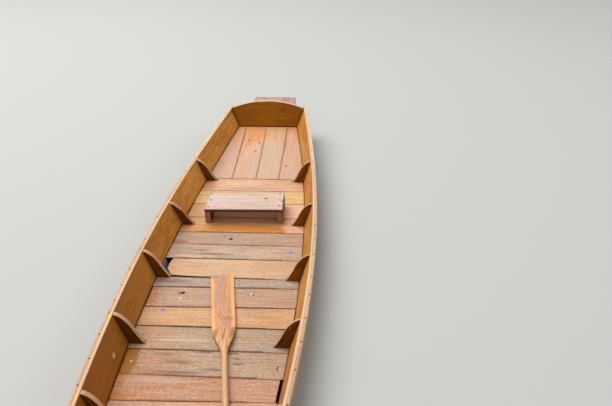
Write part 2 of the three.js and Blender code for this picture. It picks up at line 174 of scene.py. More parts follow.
@dataclass(frozen=True)
class HullShape:
    """The hull's curves in metres, as the part's source has them.

    A pair that ends in curve holds the factors of the square and of the fourth power of a place's share of
    the half length.
    """

    half_length: float = 2.370
    flat_half: float = 0.300
    floor_top: float = 0.088
    bottom_thick: float = 0.022
    side_wide: float = 0.016
    rail_wide: float = 0.014
    transom_rake: float = 0.235
    rise_curve: tuple[float, float] = (0.050, 0.036)
    rise_beyond: float = 0.012
    sheer_high: float = 0.199
    sheer_curve: tuple[float, float] = (0.0507, 0.0053)
    floor_half: float = 0.460
    floor_taper: float = 0.186
    gunwale_half: float = 0.525
    gunwale_curve: tuple[float, float] = (-0.213, 0.032)

    def rise(self, y: float) -> float:
        """Gives the bottom's height, which runs on almost straight beyond the hull's ends.

        Args:
            y: The place along the boat.

        Returns:
            The height.
        """
        along = abs(y)
        if along <= self.flat_half:
            return 0.0
        square, fourth = self.rise_curve
        span = self.half_length - self.flat_half
        share = (min(along, self.half_length) - self.flat_half) / span
        beyond = max(along - self.half_length, 0.0)
        end_slope = (2 * square + 4 * fourth) / span
        return square * share ** 2 + fourth * share ** 4 + end_slope * beyond + self.rise_beyond * beyond ** 2

    def sheer(self, y: float) -> float:
        """Gives the gunwale's height.

        Args:
            y: The place along the boat.

        Returns:
            The height.
        """
        square, fourth = self.sheer_curve
        share = y / self.half_length
        return self.floor_top + self.sheer_high + square * share ** 2 + fourth * share ** 4

    def inner_half(self, y: float, z: float) -> float:
        """Gives the hull's inner half width.

        Args:
            y: The place along the boat.
            z: The height.

        Returns:
            The half width.
        """
        square, fourth = self.gunwale_curve
        share = y / self.half_length
        at_floor = self.floor_half - self.floor_taper * share ** 2
        at_gunwale = self.gunwale_half + square * share ** 2 + fourth * share ** 4
        floor = self.floor_top + self.rise(y)
        return at_floor + (at_gunwale - at_floor) / (self.sheer(y) - floor) * (z - floor)


HULL = HullShape()


@dataclass(frozen=True)
class Spot:
    """A knot, stain or fleck in the boat's frame, with its half sizes along X, Y and Z."""

    place: Place
    size: Place
    colour: str
    strength: float = 1.0
    soft: float = 0.5


def floor_spot(x: float, y: float, size: Place, colour: str, strength: float, soft: float) -> Spot:
    """Returns a spot whose middle is on top of the floorboards."""
    return Spot((x, y, HULL.floor_top + HULL.rise(y)), size, colour, strength, soft)


@dataclass(frozen=True)
class Fade:
    """A colour that takes over along or across a timber, with a ragged edge.

    It lies under the streaks and the mottle, or over them if it says so.
    """

    start: float
    full: float
    colour: str
    strength: float = 0.8
    ragged: float = 0.3
    axis: str = "X"
    over: bool = False


@dataclass
class WoodPatterns:
    """The patterns of one timber's wood, each a socket of its material's nodes.

    The grain attribute gives each point's place in the timber: along the fibres, across them and into
    the board. The seed moves that place and each pattern, so that no two timbers look alike. The wave's
    ring is the spacing in metres of a wave texture's rings at a scale of 1.
    """

    tree: Tree
    seed: float
    place_step: float = 3.7
    pattern_step: float = 1.3
    sideways: float = 0.61
    wave_ring: float = 0.31416
    grain: Socket = field(init=False)
    place: Socket = field(init=False)

    def __post_init__(self) -> None:
        """Reads the place in the timber and moves it by the seed."""
        self.grain = add_node(self.tree, "Attribute", attribute_name="grain").outputs["Vector"]
        self.place = add_node(self.tree, "Mapping", {
            "Vector": self.grain, "Location": (self.seed * self.place_step, 0.0, 0.0)}).outputs[0]

    def patches(self, along: float, size_mm: float, shift: float) -> Socket:
        """Makes a noise that is drawn out along the fibres.

        Args:
            along: The noise's scale along the fibres, as a share of its scale across them.
            size_mm: The size of its patches across the fibres.
            shift: A shift that keeps the patterns unlike each other.

        Returns:
            The socket with the noise.
        """
        moved = self.seed * self.pattern_step + shift
        drawn = add_node(self.tree, "Mapping", {
            "Vector": self.place, "Location": (moved, moved * self.sideways, 0.0),
            "Scale": (along, 1.0, 1.0)})
        noisy = add_node(self.tree, "TexNoise", {
            "Vector": drawn.outputs[0], "Scale": 1 / (size_mm * MM), "Detail": 5.0, "Roughness": 0.62})
        return noisy.outputs["Fac"]

    def frayed(self, broad: Socket, fine: Socket, amount: float) -> Socket:
        """Adds a fine noise to a broad one, so that its patches get ragged edges.

        Args:
            broad: The broad noise.
            fine: The fine noise.
            amount: How much of the fine noise is added.

        Returns:
            The socket with the sum, whose middle is still a half.
        """
        added = add_node(self.tree, "Math", {0: fine, 1: amount, 2: broad}, operation="MULTIPLY_ADD")
        centred = add_node(self.tree, "Math", {0: added.outputs[0], 1: amount / 2}, operation="SUBTRACT")
        return centred.outputs[0]

    def share(self, value: Socket, low: float, high: float, most: float) -> Socket:
        """Turns a pattern into a layer's share of the colour.

        Args:
            value: The pattern.
            low: The value at which the layer starts.
            high: The value from which it is full.
            most: Its full share.

        Returns:
            The socket with the share.
        """
        ramp = add_node(self.tree, "MapRange", {0: value, 1: low, 2: high, 3: 0.0, 4: most},
                        interpolation_type="SMOOTHSTEP")
        return ramp.outputs[0]

    def rings(self, ring_mm: float, heart: tuple[float, float]) -> Socket:
        """Makes the growth rings about a heart that wanders along the timber.

        It wanders by up to 43 mm across and 55 mm in depth, about once in 0.9 m along the fibres.

        Args:
            ring_mm: The rings' width.
            heart: The heart's place across the timber and below its face.

        Returns:
            The socket with the rings.
        """
        slow = add_node(self.tree, "Mapping", {"Vector": self.place, "Scale": (0.16, 1.0, 1.0)})
        wander = add_node(self.tree, "TexNoise", {
            "Vector": slow.outputs[0], "Scale": 1 / 0.14, "Detail": 3.0, "Roughness": 0.5})
        shift = add_node(self.tree, "VectorMath", {0: wander.outputs["Color"], 1: (0.5, 0.5, 0.5)},
                         operation="SUBTRACT")
        bend = add_node(self.tree, "VectorMath", {0: shift.outputs[0], 1: (0.0, 0.085, 0.11)},
                        operation="MULTIPLY")
        away = add_node(self.tree, "VectorMath", {0: self.place, 1: (0.0, *heart)}, operation="SUBTRACT")
        bent = add_node(self.tree, "VectorMath", {0: away.outputs[0], 1: bend.outputs[0]}, operation="ADD")
        wave = add_node(
            self.tree, "TexWave", {
                "Vector": bent.outputs[0], "Scale": self.wave_ring / (ring_mm * MM), "Distortion": 2.2,
                "Detail": 2.0, "Detail Scale": 1.2, "Detail Roughness": 0.5},
            wave_type="RINGS", rings_direction="X", wave_profile="SIN")
        return wave.outputs["Fac"]

    def cracks(self, figure: Socket, most: float) -> Socket:
        """Draws hair lines along the fibres, where a noise passes its middle.

        Args:
            figure: The noise.
            most: The lines' full share of the colour.

        Returns:
            The socket with the lines' share of the colour.
        """
        past = add_node(self.tree, "Math", {0: figure, 1: 0.53}, operation="SUBTRACT").outputs[0]
        away = add_node(self.tree, "Math", {0: past}, operation="ABSOLUTE").outputs[0]
        return self.share(away, 0.013, 0.002, most)

    def fade_share(self, fade: Fade, broad: Socket, fine: Socket) -> Socket:
        """Measures how far a fading colour has taken over at a point.

        Args:
            fade: The fading colour.
            broad: A broad noise that moves the fade's edge.
            fine: A finer noise that frays it.

        Returns:
            The socket with the fade's share of the colour.
        """
        along = add_node(self.tree, "SeparateXYZ", {0: self.grain}).outputs[fade.axis]
        noises = add_node(self.tree, "Math", {0: broad, 1: fine}, operation="ADD").outputs[0]
        centred = add_node(self.tree, "Math", {0: noises, 1: 1.0}, operation="SUBTRACT").outputs[0]
        moved = add_node(self.tree, "Math", {0: centred, 1: fade.ragged, 2: along}, operation="MULTIPLY_ADD")
        return self.share(moved.outputs[0], fade.start, fade.full, fade.strength)

    def wet_share(self, uneven: Socket, level: float) -> Socket:
        """Measures how far a point lies below the level up to which the wood is wet.

        Args:
            uneven: A noise that makes the level uneven.
            level: The level.

        Returns:
            The socket with the wet colour's share.
        """
        reach, most = 0.05, 0.85
        at = add_node(self.tree, "TexCoord").outputs["Object"]
        up = add_node(self.tree, "SeparateXYZ", {0: at}).outputs["Z"]
        edge = add_node(self.tree, "Math", {0: uneven, 1: reach, 2: up}, operation="MULTIPLY_ADD")
        return self.share(edge.outputs[0], level + reach * 0.75, level + reach * 0.30, most)

    def spot_share(self, spot: Spot, uneven: Socket) -> Socket:
        """Measures how far a point lies inside a spot.

        Args:
            spot: The knot, stain or fleck.
            uneven: A noise that makes the spot's outline uneven.

        Returns:
            The socket with the spot's share of the colour.
        """
        middle, width = 1 + spot.soft, 0.10 + spot.soft * 0.35
        at = add_node(self.tree, "TexCoord").outputs["Object"]
        away = add_node(self.tree, "VectorMath", {0: at, 1: spot.place}, operation="SUBTRACT").outputs[0]
        scaled = add_node(self.tree, "VectorMath", {0: away, 1: tuple(1 / s for s in spot.size)},
                          operation="MULTIPLY")
        reach = add_node(self.tree, "VectorMath", {0: scaled.outputs[0]}, operation="LENGTH")
        edge = add_node(self.tree, "Math", {
            0: uneven, 1: spot.soft * 2, 2: reach.outputs["Value"]}, operation="MULTIPLY_ADD")
        return self.share(edge.outputs[0], middle + width, middle - width, spot.strength)


@dataclass(frozen=True)
class WoodFinish:
    """Sawn and planed hardwood, worn by feet, damp and sun.

    To the eye it is matt and warm. Growth rings about a heart below the board make its figure, stretched
    noise its fibres, and broader noise the oiled, greyed and rubbed patches. The edge attribute marks the
    rims that hands, feet and weather wear. The heart's place is in metres, the patterns' sizes are in
    millimetres. Real rings of 2 or 3 mm and fibres of less than 1 mm would be too fine to show, so they are
    drawn several times as coarse.
    """

    name: str
    pale: str
    deep: str
    ring_mm: float = 9.0
    heart: tuple[float, float] = (0.03, -0.09)
    ring_share: float = 0.3
    figure_share: float = 0.35
    streak: str = "#8a5a38"
    streak_share: float = 0.35
    grey: str = "#a8988a"
    grey_share: float = 0.3
    oil: str = "#b56a26"
    oil_share: float = 0.2
    worn: str = "#e9c6a0"
    worn_share: float = 0.6
    wet_below: float | None = None
    wet: str = "#4b3a26"
    roughness: float = 0.62
    relief: float = 0.35
    seed: float = 0.0
    crack_share: float = 0.25
    mottle_share: float = 0.25
    shine: float = 0.5
    smudge: str = "#7d6558"
    smudge_share: float = 0.0
    dirt: str = "#3a2c24"
    fades: tuple[Fade, ...] = ()
    spots: tuple[Spot, ...] = ()

    def make(self) -> Material:
        """Builds the material.

        Returns:
            The Blender material.
        """
        material = bare_material(self.name)
        tree = material.node_tree
        wood = WoodPatterns(tree, self.seed)
        fibre = wood.patches(along=0.030, size_mm=9.0, shift=0.4)
        pores = wood.patches(along=0.05, size_mm=2.2, shift=0.0)
        colour: object = linear(self.pale)
        for share, layer in self.layers(wood, fibre):
            mixed = add_node(tree, "Mix", {0: share, 6: colour, 7: linear(layer)}, data_type="RGBA")
            colour = mixed.outputs[2]
        rough = add_node(tree, "MapRange", {
            0: fibre, 1: 0.3, 2: 0.7, 3: self.roughness - 0.08, 4: self.roughness + 0.12})
        height = add_node(tree, "Math", {0: fibre, 1: 0.7, 2: pores}, operation="MULTIPLY_ADD").outputs[0]
        bump = add_node(tree, "Bump", {"Strength": self.relief, "Distance": 0.9 * MM, "Height": height})
        shader = add_node(tree, "BsdfPrincipled", {
            "Base Color": colour, "Roughness": rough.outputs[0], "Normal": bump.outputs[0], "IOR": 1.45,
            "Specular IOR Level": self.shine})
        add_node(tree, "OutputMaterial", {"Surface": shader.outputs[0]})
        return material

    def layers(self, wood: WoodPatterns, fibre: Socket) -> list[tuple[Socket, str]]:
        """Lists the colours that lie over the pale wood, the lowest first.

        Args:
            wood: The timber's patterns.
            fibre: The noise of its fibres.

        Returns:
            Each layer's share of the colour, and its colour.
        """
        figure = wood.patches(along=0.055, size_mm=24.0, shift=1.9)
        weather = wood.patches(along=0.24, size_mm=80.0, shift=2.1)
        oils = wood.patches(along=0.38, size_mm=130.0, shift=5.3)
        mottle = wood.patches(along=0.45, size_mm=8.0, shift=9.1)
        marks = wood.patches(along=0.15, size_mm=6.0, shift=3.3)
        rim = add_node(wood.tree, "Attribute", attribute_name="edge").outputs["Fac"]
        rubbed = add_node(wood.tree, "Math", {0: rim, 1: weather}, operation="MULTIPLY").outputs[0]
        layers = [
            (wood.share(wood.rings(self.ring_mm, self.heart), 0.35, 0.95, self.ring_share), self.deep),
            (wood.share(figure, 0.47, 0.66, self.figure_share), self.deep),
            (wood.share(wood.frayed(oils, figure, 0.35), 0.50, 0.54, self.oil_share), self.oil),
            (wood.share(wood.frayed(weather, figure, 0.2), 0.47, 0.58, self.grey_share), self.grey),
        ]
        fades = [(fade.over, wood.fade_share(fade, oils, figure), fade.colour) for fade in self.fades]
        layers += [(share, colour) for over, share, colour in fades if not over]
        if self.smudge_share:
            smudges = wood.patches(along=0.30, size_mm=16.0, shift=7.7)
            layers.append((wood.share(smudges, 0.57, 0.63, self.smudge_share), self.smudge))
            ragged = wood.frayed(oils, smudges, 0.8)
            dirt = add_node(wood.tree, "Math", {0: rim, 1: ragged}, operation="MULTIPLY").outputs[0]
            layers.append((wood.share(dirt, 0.46, 0.54, 0.85), self.dirt))
        layers += [
            (wood.share(fibre, 0.52, 0.68, self.streak_share), self.streak),
            (wood.share(fibre, 0.48, 0.30, 0.35), self.worn),
            (wood.cracks(figure, self.crack_share), self.streak),
            (wood.share(mottle, 0.52, 0.60, self.mottle_share), self.worn),
            (wood.share(mottle, 0.47, 0.37, self.mottle_share), self.streak),
            (wood.share(marks, 0.63, 0.69, self.crack_share), self.streak),
            (wood.share(rubbed, 0.18, 0.55, self.worn_share), self.worn),
        ]
        layers += [(share, colour) for over, share, colour in fades if over]
        layers += [(wood.spot_share(spot, fibre), spot.colour) for spot in self.spots]
        if self.wet_below is not None:
            layers.append((wood.wet_share(weather, self.wet_below), self.wet))
        return layers


def two_tone_wood(name: str, pale: str, deep: str, seed: float) -> Material:
    """Makes a matt wood in two close tones, for the bilge, the timbers and the faces inside the gaps."""
    return WoodFinish(name, pale, deep, grey=pale, oil=deep, streak=deep, worn=pale, roughness=0.8,
                      seed=seed).make()


@dataclass(frozen=True)
class IronFinish:
    """Forged iron nails and screws, whose brown rust leaves them nearly matt.

    The rust's real grains would be too fine to show, so its patches are as wide as a head.
    """

    name: str
    clean: str = "#2e2824"
    rust: str = "#40241a"
    rust_mm: float = 4.0
    roughness: float = 0.65
    metallic: float = 0.5

    def make(self) -> Material:
        """Builds the material.

        Returns:
            The Blender material.
        """
        material = bare_material(self.name)
        tree = material.node_tree
        at = add_node(tree, "TexCoord").outputs["Object"]
        bloom = add_node(tree, "TexNoise", {"Vector": at, "Scale": 1 / (self.rust_mm * MM), "Detail": 3.0})
        share = add_node(tree, "MapRange", {0: bloom.outputs["Fac"], 1: 0.4, 2: 0.6})
        colour = add_node(tree, "Mix", {0: share.outputs[0], 6: linear(self.clean), 7: linear(self.rust)},
                          data_type="RGBA")
        bump = add_node(tree, "Bump", {"Strength": 0.3, "Distance": 0.2 * MM, "Height": bloom.outputs["Fac"]})
        shader = add_node(tree, "BsdfPrincipled", {
            "Base Color": colour.outputs[2], "Roughness": self.roughness, "Metallic": self.metallic,
            "Normal": bump.outputs[0]})
        add_node(tree, "OutputMaterial", {"Surface": shader.outputs[0]})
        return material


@dataclass
class Timber:
    """A finer piece that starts as a merged copy of one CAD node."""

    node: str
    slot: str
    body: str = "hull"
    merge: float = 0.02 * MM
    flat_angle: float = math.radians(0.2)
    quad_angle: float = math.radians(12)
    quad_shape: float = math.radians(60)
    smooth_angle: float = math.radians(35)
    broad_facing: float = 0.75
    mesh: Mesh = field(init=False)

    def __post_init__(self) -> None:
        """Copies the node's mesh, merges its loose triangles and adds the two attributes."""
        self.mesh = bmesh.new()
        self.mesh.from_mesh(frame["nodes"][self.node].data)
        bmesh.ops.remove_doubles(self.mesh, verts=self.mesh.verts, dist=self.merge)
        self.mesh.verts.layers.float_vector.new("grain")
        self.mesh.verts.layers.float.new("edge")

    def flatten(self) -> None:
        """Joins the triangles of each flat face into one face."""
        bmesh.ops.dissolve_limit(
            self.mesh, angle_limit=self.flat_angle, verts=self.mesh.verts, edges=self.mesh.edges)

    def quads(self) -> None:
        """Joins the triangles of a bent piece into its four-sided faces."""
        bmesh.ops.join_triangles(
            self.mesh, faces=self.mesh.faces, angle_face_threshold=self.quad_angle,
            angle_shape_threshold=self.quad_shape)

    def divide(self, longest: float, wanted: Callable[[bmesh.types.BMEdge], bool]) -> None:
        """Cuts long edges into shorter ones.

        Args:
            longest: The length past which an edge is cut.
            wanted: Says which edges may be cut.
        """
        for edge in [e for e in self.mesh.edges if wanted(e) and e.calc_length() > longest]:
            cuts = int(edge.calc_length() / longest)
            bmesh.ops.subdivide_edges(self.mesh, edges=[edge], cuts=cuts)

    def ease(self, width: float, segments: int = 2, angle: float = 32.0) -> None:
        """Rounds the sharp edges, as a plane and years of use leave them.

        Args:
            width: The bevel's width.
            segments: The bevel's number of faces.
            angle: The least angle between two faces that counts as an edge, in degrees.
        """
        sharp = [e for e in self.mesh.edges if len(e.link_faces) == 2
                 and e.calc_face_angle(0.0) > math.radians(angle)]
        bmesh.ops.bevel(
            self.mesh, geom=sharp, offset=width, offset_type="OFFSET", segments=segments, profile=0.5,
            affect="EDGES", clamp_overlap=True, material=-1)

    def rim(self, axis: int, width: float) -> None:
        """Marks a band along the edges of the broad faces, where hands, feet and weather wear them.

        Args:
            axis: The axis that the broad faces look along.
            width: The band's width.
        """
        self.mesh.normal_update()
        broad = [f for f in self.mesh.faces if abs(f.normal[axis]) > self.broad_facing]
        bmesh.ops.inset_region(
            self.mesh, faces=broad, thickness=width, use_even_offset=True, use_boundary=True)
        inner = {v for f in broad if f.is_valid for v in f.verts}
        edge = self.mesh.verts.layers.float["edge"]
        for vert in self.mesh.verts:
            vert[edge] = 0.0 if vert in inner else 1.0

    def finish(self, place: WoodPlace, finishes: list[Material],
               pick: Callable[[Face], int] | None = None) -> bpy.types.Object:
        """Makes the object, which stands for its node and rides on its body.

        Args:
            place: Gives a point's place in the timber, for the grain.
            finishes: The piece's materials.
            pick: Gives a face's number among the materials.

        Returns:
            The new object.
        """
        grain = self.mesh.verts.layers.float_vector["grain"]
        for vert in self.mesh.verts:
            vert[grain] = Vector(place(vert.co))
        self.mesh.normal_update()
        for face in self.mesh.faces:
            face.smooth = True
            face.material_index = pick(face) if pick else 0
        for edge in self.mesh.edges:
            edge.smooth = edge.calc_face_angle(0.0) < self.smooth_angle
        crowded = [f for f in self.mesh.faces if len(f.verts) > 4]
        bmesh.ops.triangulate(self.mesh, faces=crowded)
        piece = settle(self.mesh, self.node + "_timber", finishes, self.body, self.slot)
        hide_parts(self.node)
        return piece


def settle(mesh: Mesh, name: str, finishes: list[Material], body: str, slot: str | None) -> bpy.types.Object:
    """Turns a bmesh into an object that rides on a body.

    Args:
        mesh: The finished mesh, in the boat's frame.
        name: The piece's name.
        finishes: The piece's materials.
        body: The CAD body it rides on.
        slot: The record's material slot, if it has one; not used.

    Returns:
        The new object.
    """
    data = bpy.data.meshes.new(name)
    mesh.to_mesh(data)
    mesh.free()
    piece = stand(name, data)
    for material in finishes:
        data.materials.append(material)
    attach(piece, body)
    return piece


@dataclass
class Bottom:
    """The bottom's three planks and the tongue beyond each transom."""

    ease: float = 2.0 * MM
    rim: float = 8 * MM
    groove: float = 1.5 * MM
    groove_shares: tuple[float, float] = (-0.36, 0.30)
    bilge_facing: float = 0.5
    tongue_tones: tuple[tuple[str, str], ...] = (
        ("#ce9281", "#a06252"), ("#d39d84", "#ac7053"), ("#c78b81", "#975c53"))

    def build(self) -> None:
        """Builds the five pieces."""
        # Damp grimy hardwood inside the hull, darkened nearly to black as painted shade, so that the gaps
        # between boards read as deep.
        bilge = two_tone_wood("bilge side of the bottom, damp grimy hardwood", "#251a12", "#160f0a", 35.0)
        for number, word in enumerate(("left", "middle", "right"), start=1):
            # Sawn hardwood below the waterline: dull brown, with grey patches.
            outside = WoodFinish(
                f"bottom planking, sawn wet hardwood {number}", "#8d6544", "#6a452c", grey="#7d7062",
                grey_share=0.5, oil="#6e4826", streak="#4f3320", worn="#9c7350", seed=30.0 + number,
                roughness=0.6)
            plank = Timber(f"bottom_plank_{word}", "bottom_wood")
            plank.quads()
            plank.ease(self.ease)
            plank.finish(self.place, [outside.make(), bilge], lambda f: int(f.normal.z > self.bilge_facing))
        for number, end in enumerate(End):
            self.tongue(end, 41.0 + number)

    @staticmethod
    def place(point: Vector) -> Place:
        """Returns a point's place in planking that runs along the boat."""
        return (point.y, point.x, point.z - HULL.rise(point.y))

    def tongue(self, end: End, seed: float) -> None:
        """Builds one tongue as three planks side by side.

        Args:
            end: The end of the boat it is at.
            seed: The first plank's seed.
        """
        # Bare hardwood, walked on and sunned: a dry, pinkish brown with grey patches.
        finishes = [
            WoodFinish(f"tongue, worn hardwood {end.word} {i + 1}", pale, deep, grey="#b79f9a",
                       grey_share=0.45, oil_share=0.1, seed=seed + 0.37 * i, roughness=0.7).make()
            for i, (pale, deep) in enumerate(self.tongue_tones)]
        tongue = Timber(f"tongue_{end.word}", "bottom_wood")
        tongue.quads()
        mesh = tongue.mesh
        cuts = [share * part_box(tongue.node)[1].x for share in self.groove_shares]
        for cut in cuts:
            for side in Side:
                bmesh.ops.bisect_plane(
                    mesh, geom=mesh.verts[:] + mesh.edges[:] + mesh.faces[:],
                    plane_co=(cut + side * self.groove / 2, 0.0, 0.0), plane_no=(1.0, 0.0, 0.0))
            between = [f for f in mesh.faces if abs(f.calc_center_median().x - cut) < self.groove / 2]
            bmesh.ops.delete(mesh, geom=between, context="FACES")
        bmesh.ops.holes_fill(mesh, edges=[e for e in mesh.edges if e.is_boundary])
        tongue.flatten()
        tongue.ease(self.ease)
        tongue.rim(2, self.rim)
        tongue.finish(self.place, finishes, lambda f: sum(f.calc_center_median().x > cut for cut in cuts))


@dataclass
class Sides:
    """The side planks and the rails along their top edges."""

    ease: float = 0.8 * MM
    rail_ease: float = 1.2 * MM
    rim: float = 5 * MM
    middle_high: float = 0.15
    top_facing: float = 0.8
    grimy_from: float = 2.352
    grimy_full: float = 2.362
    flecks: tuple[tuple[float, float], ...] = ((-0.516, -0.673), (-0.465, -1.2645))
    plug: tuple[float, float] = (-0.836, 0.166)
    scuff: tuple[float, float] = (0.155, 0.07)

    def build(self) -> None:
        """Builds the two planks and the two rails."""
        flecks = tuple(Spot((x, y, HULL.sheer(y)), (0.008, 0.014, 0.02), "#f0d822", 0.95, 0.2)
                       for x, y in self.flecks)
        # Bare hardwood, rubbed by hands: pale and dry, with two flecks of yellow paint.
        bare = WoodFinish("side plank edges, worn bare hardwood", "#dcb48c", "#bd8a5e", grey_share=0.2,
                          streak_share=0.25, oil_share=0.1, seed=7.0, spots=flecks).make()
        for number, side in enumerate(Side):
            self.plank(side, number, bare)
            self.rail(side, number)

    def plank(self, side: Side, number: int, bare: Material) -> None:
        """Builds one side plank.

        Args:
            side: The side of the boat it is on.
            number: The side's number, for its seed.
            bare: The finish of its top edge.
        """
        # The left plank's brighter tones are painted light, for the inner face that the key light reaches
        # less.
        pale, deep = ("#f2ac44", "#ca7d2b") if side is Side.LEFT else ("#dc963e", "#b36d25")
        # Painted shade darkens each plank's inside towards the near end.
        near_end_shade = (Fade(1.1, -1.3, "#9a5c12", 0.9, 0.6) if side is Side.LEFT
                   else Fade(-0.4, -1.3, "#ae6c34", 0.7, 0.5))
        # Painted shade in the corners by the transoms.
        corners = [Fade(end * self.grimy_from, end * self.grimy_full, "#4a2c10", 0.7, 0.006) for end in End]
        # Hardwood under old oil: a warm amber with a low sheen, with painted shade along its foot by the
        # floor and in the corners.
        inside = WoodFinish(
            f"side plank's inside, oiled hardwood {number + 1}", pale, deep, ring_mm=12.0,
            heart=(0.02, -0.07), ring_share=0.35, figure_share=0.55, grey="#ddb270", grey_share=0.35,
            oil="#bd731b", oil_share=0.5, streak="#734212", streak_share=0.4, worn="#794b1b", worn_share=0.8,
            roughness=0.5, shine=0.3, smudge="#a26b25", smudge_share=0.5, dirt="#513214",
            seed=11.0 + 3 * number,
            fades=(near_end_shade, Fade(-0.050, -0.058, "#3a220c", 0.75, 0.008, "Y"), *corners),
            spots=self.stains(side))
        # The same oiled hardwood, weathered: greyer and flatter, and dark near the waterline.
        outside = WoodFinish(
            f"side plank's outside, oiled hardwood {number + 1}", "#b07a45", "#8a552b", ring_mm=12.0,
            heart=(0.02, -0.07), ring_share=0.2, figure_share=0.4, grey="#a08a70", grey_share=0.4,
            oil="#96581f", oil_share=0.4, streak="#6b4220", streak_share=0.35, worn="#c79c6a", worn_share=0.4,
            roughness=0.5, wet_below=0.088, seed=17.0 + 3 * number)
        plank = Timber(f"side_plank_{side.word}", "side_wood")
        plank.quads()
        plank.ease(self.ease)
        plank.rim(0, self.rim)

        def place(point: Vector) -> Place:
            """Returns a point's place in the plank."""
            depth = side * point.x - HULL.inner_half(point.y, point.z)
            return (point.y, point.z - HULL.rise(point.y) - self.middle_high, depth)

        def pick(face: Face) -> int:
            """Returns a face's number among the finishes."""
            return 2 if face.normal.z > self.top_facing else int(face.normal.x * side >= 0)

        plank.finish(place, [inside.make(), outside.make(), bare], pick)

    def stains(self, side: Side) -> tuple[Spot, ...]:
        """Lists the stains inside one side plank.

        Args:
            side: The side of the boat.

        Returns:
            On the left a pale plug with a dark ring and a grey scuff, on the right none.
        """
        if side is Side.RIGHT:
            return ()
        plug, scuff = ((-HULL.inner_half(y, z), y, z) for y, z in (self.plug, self.scuff))
        return (Spot(plug, (0.1, 0.027, 0.022), "#7d4f22", 0.7, 0.2),
                Spot(plug, (0.1, 0.019, 0.015), "#dcb67c", 0.9, 0.15),
                Spot(scuff, (0.05, 0.07, 0.026), "#a08c8a", 0.9, 0.2))

    def rail(self, side: Side, number: int) -> None:
        """Builds one rail.

        Args:
            side: The side of the boat it is on.
            number: The side's number, for its seed.
        """
        # Hardwood that hands and weather keep bare: straw coloured, paler at the far end.
        worn = WoodFinish(
            f"rail, bare hardwood {number + 1}", "#deb68a", "#bd8c5e", ring_mm=7.0, heart=(0.012, -0.05),
            ring_share=0.25, figure_share=0.35, grey="#bdb1a2", grey_share=0.35, oil="#cd9151", oil_share=0.3,
            streak="#906340", streak_share=0.4, worn="#edd3aa", worn_share=0.7, seed=21.0 + 5 * number,
            fades=(Fade(-0.3, -1.3, "#c8946c", 0.9, 0.6), Fade(0.7, 1.7, "#f0d0ae", 0.8, 0.6)))
        rail = Timber(f"rail_{side.word}", "rail_wood")
        rail.quads()
        rail.ease(self.rail_ease, segments=3)

        def place(point: Vector) -> Place:
            """Returns a point's place in the rail."""
            half = HULL.inner_half(point.y, point.z)
            return (point.y, side * point.x - half, point.z - HULL.sheer(point.y))

        rail.finish(place, [worn.make()])


@dataclass
class Transoms:
    """The raked end boards with arched tops."""

    ease: float = 2.2 * MM
    rim: float = 6 * MM
    rake_from: float = 0.174
    middle_high: float = 0.25
    top_facing: float = 0.55
    outer_facing: float = 0.3

    def build(self) -> None:
        """Builds both transoms."""
        for number, end in enumerate(End):
            self.transom(end, number)

    def transom(self, end: End, number: int) -> None:
        """Builds one transom.

        Args:
            end: The end of the boat it is at.
            number: The end's number, for its seed.
        """
        knot = Spot((0.142, 2.407, 0.332), (0.024, 0.2, 0.010), "#5c3210", 0.45, 0.9)
        # Hardwood under old oil: a deep golden brown, with a painted shade along its foot by the floor.
        oiled = WoodFinish(
            f"transom, oiled hardwood {number + 1}", "#b47213", "#894e0a", ring_mm=11.0, heart=(-0.05, -0.08),
            ring_share=0.3, grey="#9e6f24", grey_share=0.25, oil="#97590a", oil_share=0.4, streak="#693e08",
            streak_share=0.35, worn="#482905", worn_share=0.8, roughness=0.55, shine=0.15,
            seed=51.0 + 2 * number, fades=(Fade(-0.067, -0.073, "#33200c", 0.7, 0.005, "Y"),),
            spots=(knot,) if end is End.FAR else ())
        outside = replace(oiled, name=f"transom's outside, oiled hardwood {number + 1}", fades=(), spots=(),
                          wet_below=0.1)
        # Bare hardwood, rubbed by hands: pale and dry.
        bare = WoodFinish(f"transom's top, worn bare hardwood {number + 1}", "#e9c29a", "#cf9b6c",
                          grey_share=0.2, streak_share=0.25, oil_share=0.1, seed=55.0 + number)
        board = Timber(f"transom_{end.word}", "transom_wood")
        board.flatten()
        board.ease(self.ease)
        board.rim(1, self.rim)

        def place(point: Vector) -> Place:
            """Returns a point's place in the board."""
            depth = end * point.y - HULL.half_length - HULL.transom_rake * (point.z - self.rake_from)
            return (point.x, point.z - self.middle_high, depth)

        def pick(face: Face) -> int:
            """Returns a face's number among the finishes."""
            outer = face.normal.y * end > self.outer_facing
            return 1 if face.normal.z > self.top_facing else 2 * outer

        board.finish(place, [oiled.make(), bare.make(), outside.make()], pick)


